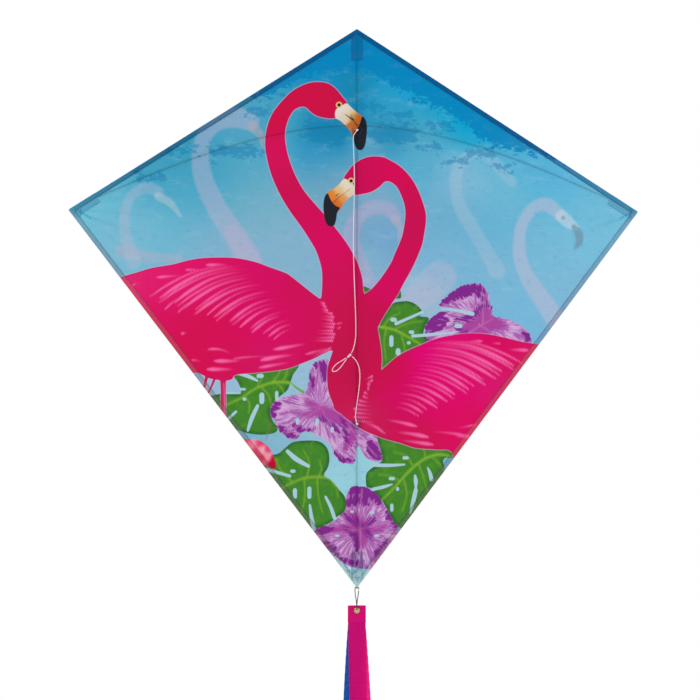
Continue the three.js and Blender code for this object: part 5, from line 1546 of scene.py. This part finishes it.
# ---- Tail tab and its eyelet
# --------------------------------------------------------------------------------------
# The three ribbons are sewn into a folded tab of the magenta cloth, with a rolled brass eyelet through it.
tab_low, tab_high = np.array(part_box("tail_tab")) * 1000
eyelet_low, eyelet_high = np.array(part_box("tail_eyelet")) * 1000
EYE = (eyelet_low + eyelet_high) / 2
EYE[1] = (tab_low[1] + tab_high[1]) / 2
magenta_cloth = woven("magenta_nylon", (216, 0, 126), (234, 0, 138), 0.42)
TAB_HOLE = 2.5
theta = np.linspace(0, 2 * math.pi, 144, endpoint=False)
reach = np.linspace(0, 1, 40) ** 1.1
half_x = tab_high[0] + 0.1
up_z, down_z = tab_high[2] - EYE[2], tab_low[2] - EYE[2] - 1.9
c, s_ = np.cos(theta), np.sin(theta)
to_side = half_x / np.maximum(np.abs(c), 1e-9)
to_end = np.where(s_ > 0, up_z, -down_z) / np.maximum(np.abs(s_), 1e-9)
rim_reach = 1 / (to_side ** -12.0 + to_end ** -12.0) ** (1 / 12.0)
rim_reach = np.minimum(rim_reach * 1.02, np.minimum(to_side, to_end))
r = TAB_HOLE + (rim_reach - TAB_HOLE)[None, :] * reach[:, None]
x, z = r * c, r * s_
edge_in = np.minimum(np.minimum(half_x - np.abs(x), up_z - z), z - down_z)
puff = 0.6 * np.sqrt(np.clip(edge_in / 0.7, 0.04, 1)) + 0.1 * np.sin(x * 0.5 + 1) * np.sin(z * 0.35)
seam_dent = 0.3 * np.exp(-((z + 8.9) / 0.45) ** 2) + 0.22 * np.exp(-((z - up_z + 1.6) / 0.4) ** 2)
lower_step = -0.62 * smooth_step(-9.2, -13.2, z)
front = np.stack([x, EYE[1] - puff + seam_dent + lower_step, EYE[2] + z], -1) * MM
rear = np.stack([x, EYE[1] + puff - seam_dent - lower_step, EYE[2] + z], -1) * MM
section = np.concatenate([front, rear[::-1]], 0).transpose(1, 0, 2)
spokes, sides = section.shape[:2]
row, column = np.arange(spokes)[:, None] * sides, np.arange(sides)[None, :]
after, low = (column + 1) % sides, np.roll(row, -1, 0)
tab = fix_normals(add_mesh("tail_tab_cloth", section.reshape(-1, 3), np.stack(
    [row + column, row + after, low + after, low + column], -1).reshape(-1, 4)))
both_x, both_z = np.concatenate([x, x[::-1]], 0).T, np.concatenate([z, z[::-1]], 0).T
lay_map(tab, both_x * MM, both_z * MM)
tab.data.materials.append(magenta_cloth)
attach(tab, "tail_tab")
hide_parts("tail_tab")


def lathed(name, profile, centre, steps=64):
    """A closed section (radius, depth) turned about the Y axis through a centre."""
    profile = np.asarray(profile, float)
    angle = np.linspace(0, 2 * math.pi, steps, endpoint=False)[:, None]
    points = np.stack([profile[None, :, 0] * np.cos(angle), np.broadcast_to(profile[None, :, 1],
        (steps, len(profile))),
                       profile[None, :, 0] * np.sin(angle)], -1) + np.asarray(centre)
    sides = len(profile)
    row, column = np.arange(steps)[:, None] * sides, np.arange(sides)[None, :]
    after, low = (column + 1) % sides, np.roll(row, -1, 0)
    return fix_normals(add_mesh(name, points.reshape(-1, 3) * MM, np.stack(
        [row + column, row + after, low + after, low + column], -1).reshape(-1, 4)))


brass, nodes, links, shader = simple_material("rolled_brass", linear(206, 170, 92), 0.24, metallic=1.0)
wear = nodes.new("ShaderNodeTexNoise")
wear.inputs["Scale"].default_value = 900
wear.inputs["Detail"].default_value = 4
tone = nodes.new("ShaderNodeMix")
tone.data_type = "RGBA"
tone.inputs[6].default_value = (*linear(178, 138, 66), 1)
tone.inputs[7].default_value = (*linear(232, 204, 134), 1)
gloss = nodes.new("ShaderNodeMapRange")
gloss.inputs["To Min"].default_value = 0.16
gloss.inputs["To Max"].default_value = 0.36
links.new(nodes.new("ShaderNodeTexCoord").outputs["Object"], wear.inputs["Vector"])
links.new(wear.outputs["Fac"], tone.inputs[0])
links.new(wear.outputs["Fac"], gloss.inputs["Value"])
links.new(tone.outputs[2], shader.inputs["Base Color"])
links.new(gloss.outputs["Result"], shader.inputs["Roughness"])
roll = np.linspace(math.pi, 0, 13)
eyelet = lathed("tail_eyelet_rolled", [
    *zip(2.4 + 1.1 * np.cos(roll), -0.92 - 0.4 * np.sin(roll)), (3.4, -0.88), (2.26, -0.88), (2.2, -0.6),
    (2.2, 0.88),
    (1.3, 0.88), (1.05, 0.6), (1.05, -0.6)], EYE)
washer = lathed("tail_eyelet_washer_ring", [
    *zip(2.98 + 0.5 * np.cos(roll[::-1]), 0.95 + 0.3 * np.sin(roll[::-1])), (2.5, 0.91), (3.45, 0.91)], EYE)
for piece, node in ((eyelet, "tail_eyelet"), (washer, "tail_eyelet_washer")):
    piece.data.materials.append(brass)
    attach(piece, "tail_tab")
    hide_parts(node)

# ---- Ribbons
# ------------------------------------------------------------------------------------------------------
# Three ribbons of light nylon, 21 mm by 600 mm, hot-cut along their edges: magenta in front, pink, and
# blue behind.
# They share one set of slow waves, so they lie together at the tab and fan apart as they fall.
RIBBON_WIDE, RIBBON_LONG, SETTLE = 21.0, 600.0, 250.0
blue_cloth = woven("blue_nylon", (10, 66, 148), (22, 92, 176), 0.42)
pink_cloth = woven("pink_nylon", (222, 20, 118), (240, 48, 142), 0.42)


def ribbon(node, lean, body, blend_to, material, twist):
    """A ribbon from the tab: at each fall its middle has moved across by tan(lean) x 250 x (1 - e^(-fall /
    250)), its depth follows two slow waves that grow with the fall, and its width cups and turns a
    little."""
    low, high = np.array(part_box(node)) * 1000
    top, depth = high[2], 0.5 * (low[1] + high[1])
    fall, wide = np.meshgrid(np.linspace(0, high[2] - low[2], 241), np.linspace(-1, 1, 17), indexing="ij")
    middle = math.tan(math.radians(lean)) * SETTLE * (1 - np.exp(-fall / SETTLE))
    grown = smooth_step(0, 220, fall)
    wave = grown * (1.5 * np.sin(fall / 41 + 0.4) + 2.2 * np.sin(fall / 73 + 1.1))
    cup = (0.5 * grown * (wide ** 2 - 0.4) * np.sin(fall / 58 + twist)
           + 0.5 * grown * wide * np.sin(fall / 90 + 0.8))
    sway = 0.7 * grown * np.sin(fall / 66 + twist)
    fray = 0.12 * np.sin(fall * 1.9 + wide * 3) * (np.abs(wide) > 0.99)
    x = middle + wide * (RIBBON_WIDE / 2 + fray) + sway
    points = np.stack([x, depth + wave + cup, top - fall], -1) * MM
    rows, columns = fall.shape
    index = np.arange(rows * columns).reshape(rows, columns)
    piece = add_mesh(node + "_cloth", points.reshape(-1, 3), np.stack(
        [index[:-1, :-1], index[1:, :-1], index[1:, 1:], index[:-1, 1:]], -1).reshape(-1, 4))
    lay_map(piece, wide * RIBBON_WIDE / 2 * MM, fall * MM)
    piece.data.materials.append(material)
    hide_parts(node)
    if blend_to:
        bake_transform(piece, body, blend_to, start=(0, depth * MM, top * MM), end=(0, depth * MM, (top - 9) * MM))
    else:
        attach(piece, body)
    return piece


for node, lean, blend_to, material, slot, twist in (
    ("streamer_magenta", 0.9, "front_streamer", magenta_cloth, "magenta_cloth", 0.3),
    ("streamer_pink", 4.5, None, pink_cloth, "pink_cloth", 0.3),
    ("streamer_blue", -4.3, "back_streamer", blue_cloth, "blue_cloth", 0.3),
):
    ribbon(node, lean, "tail_tab", blend_to, material, twist)
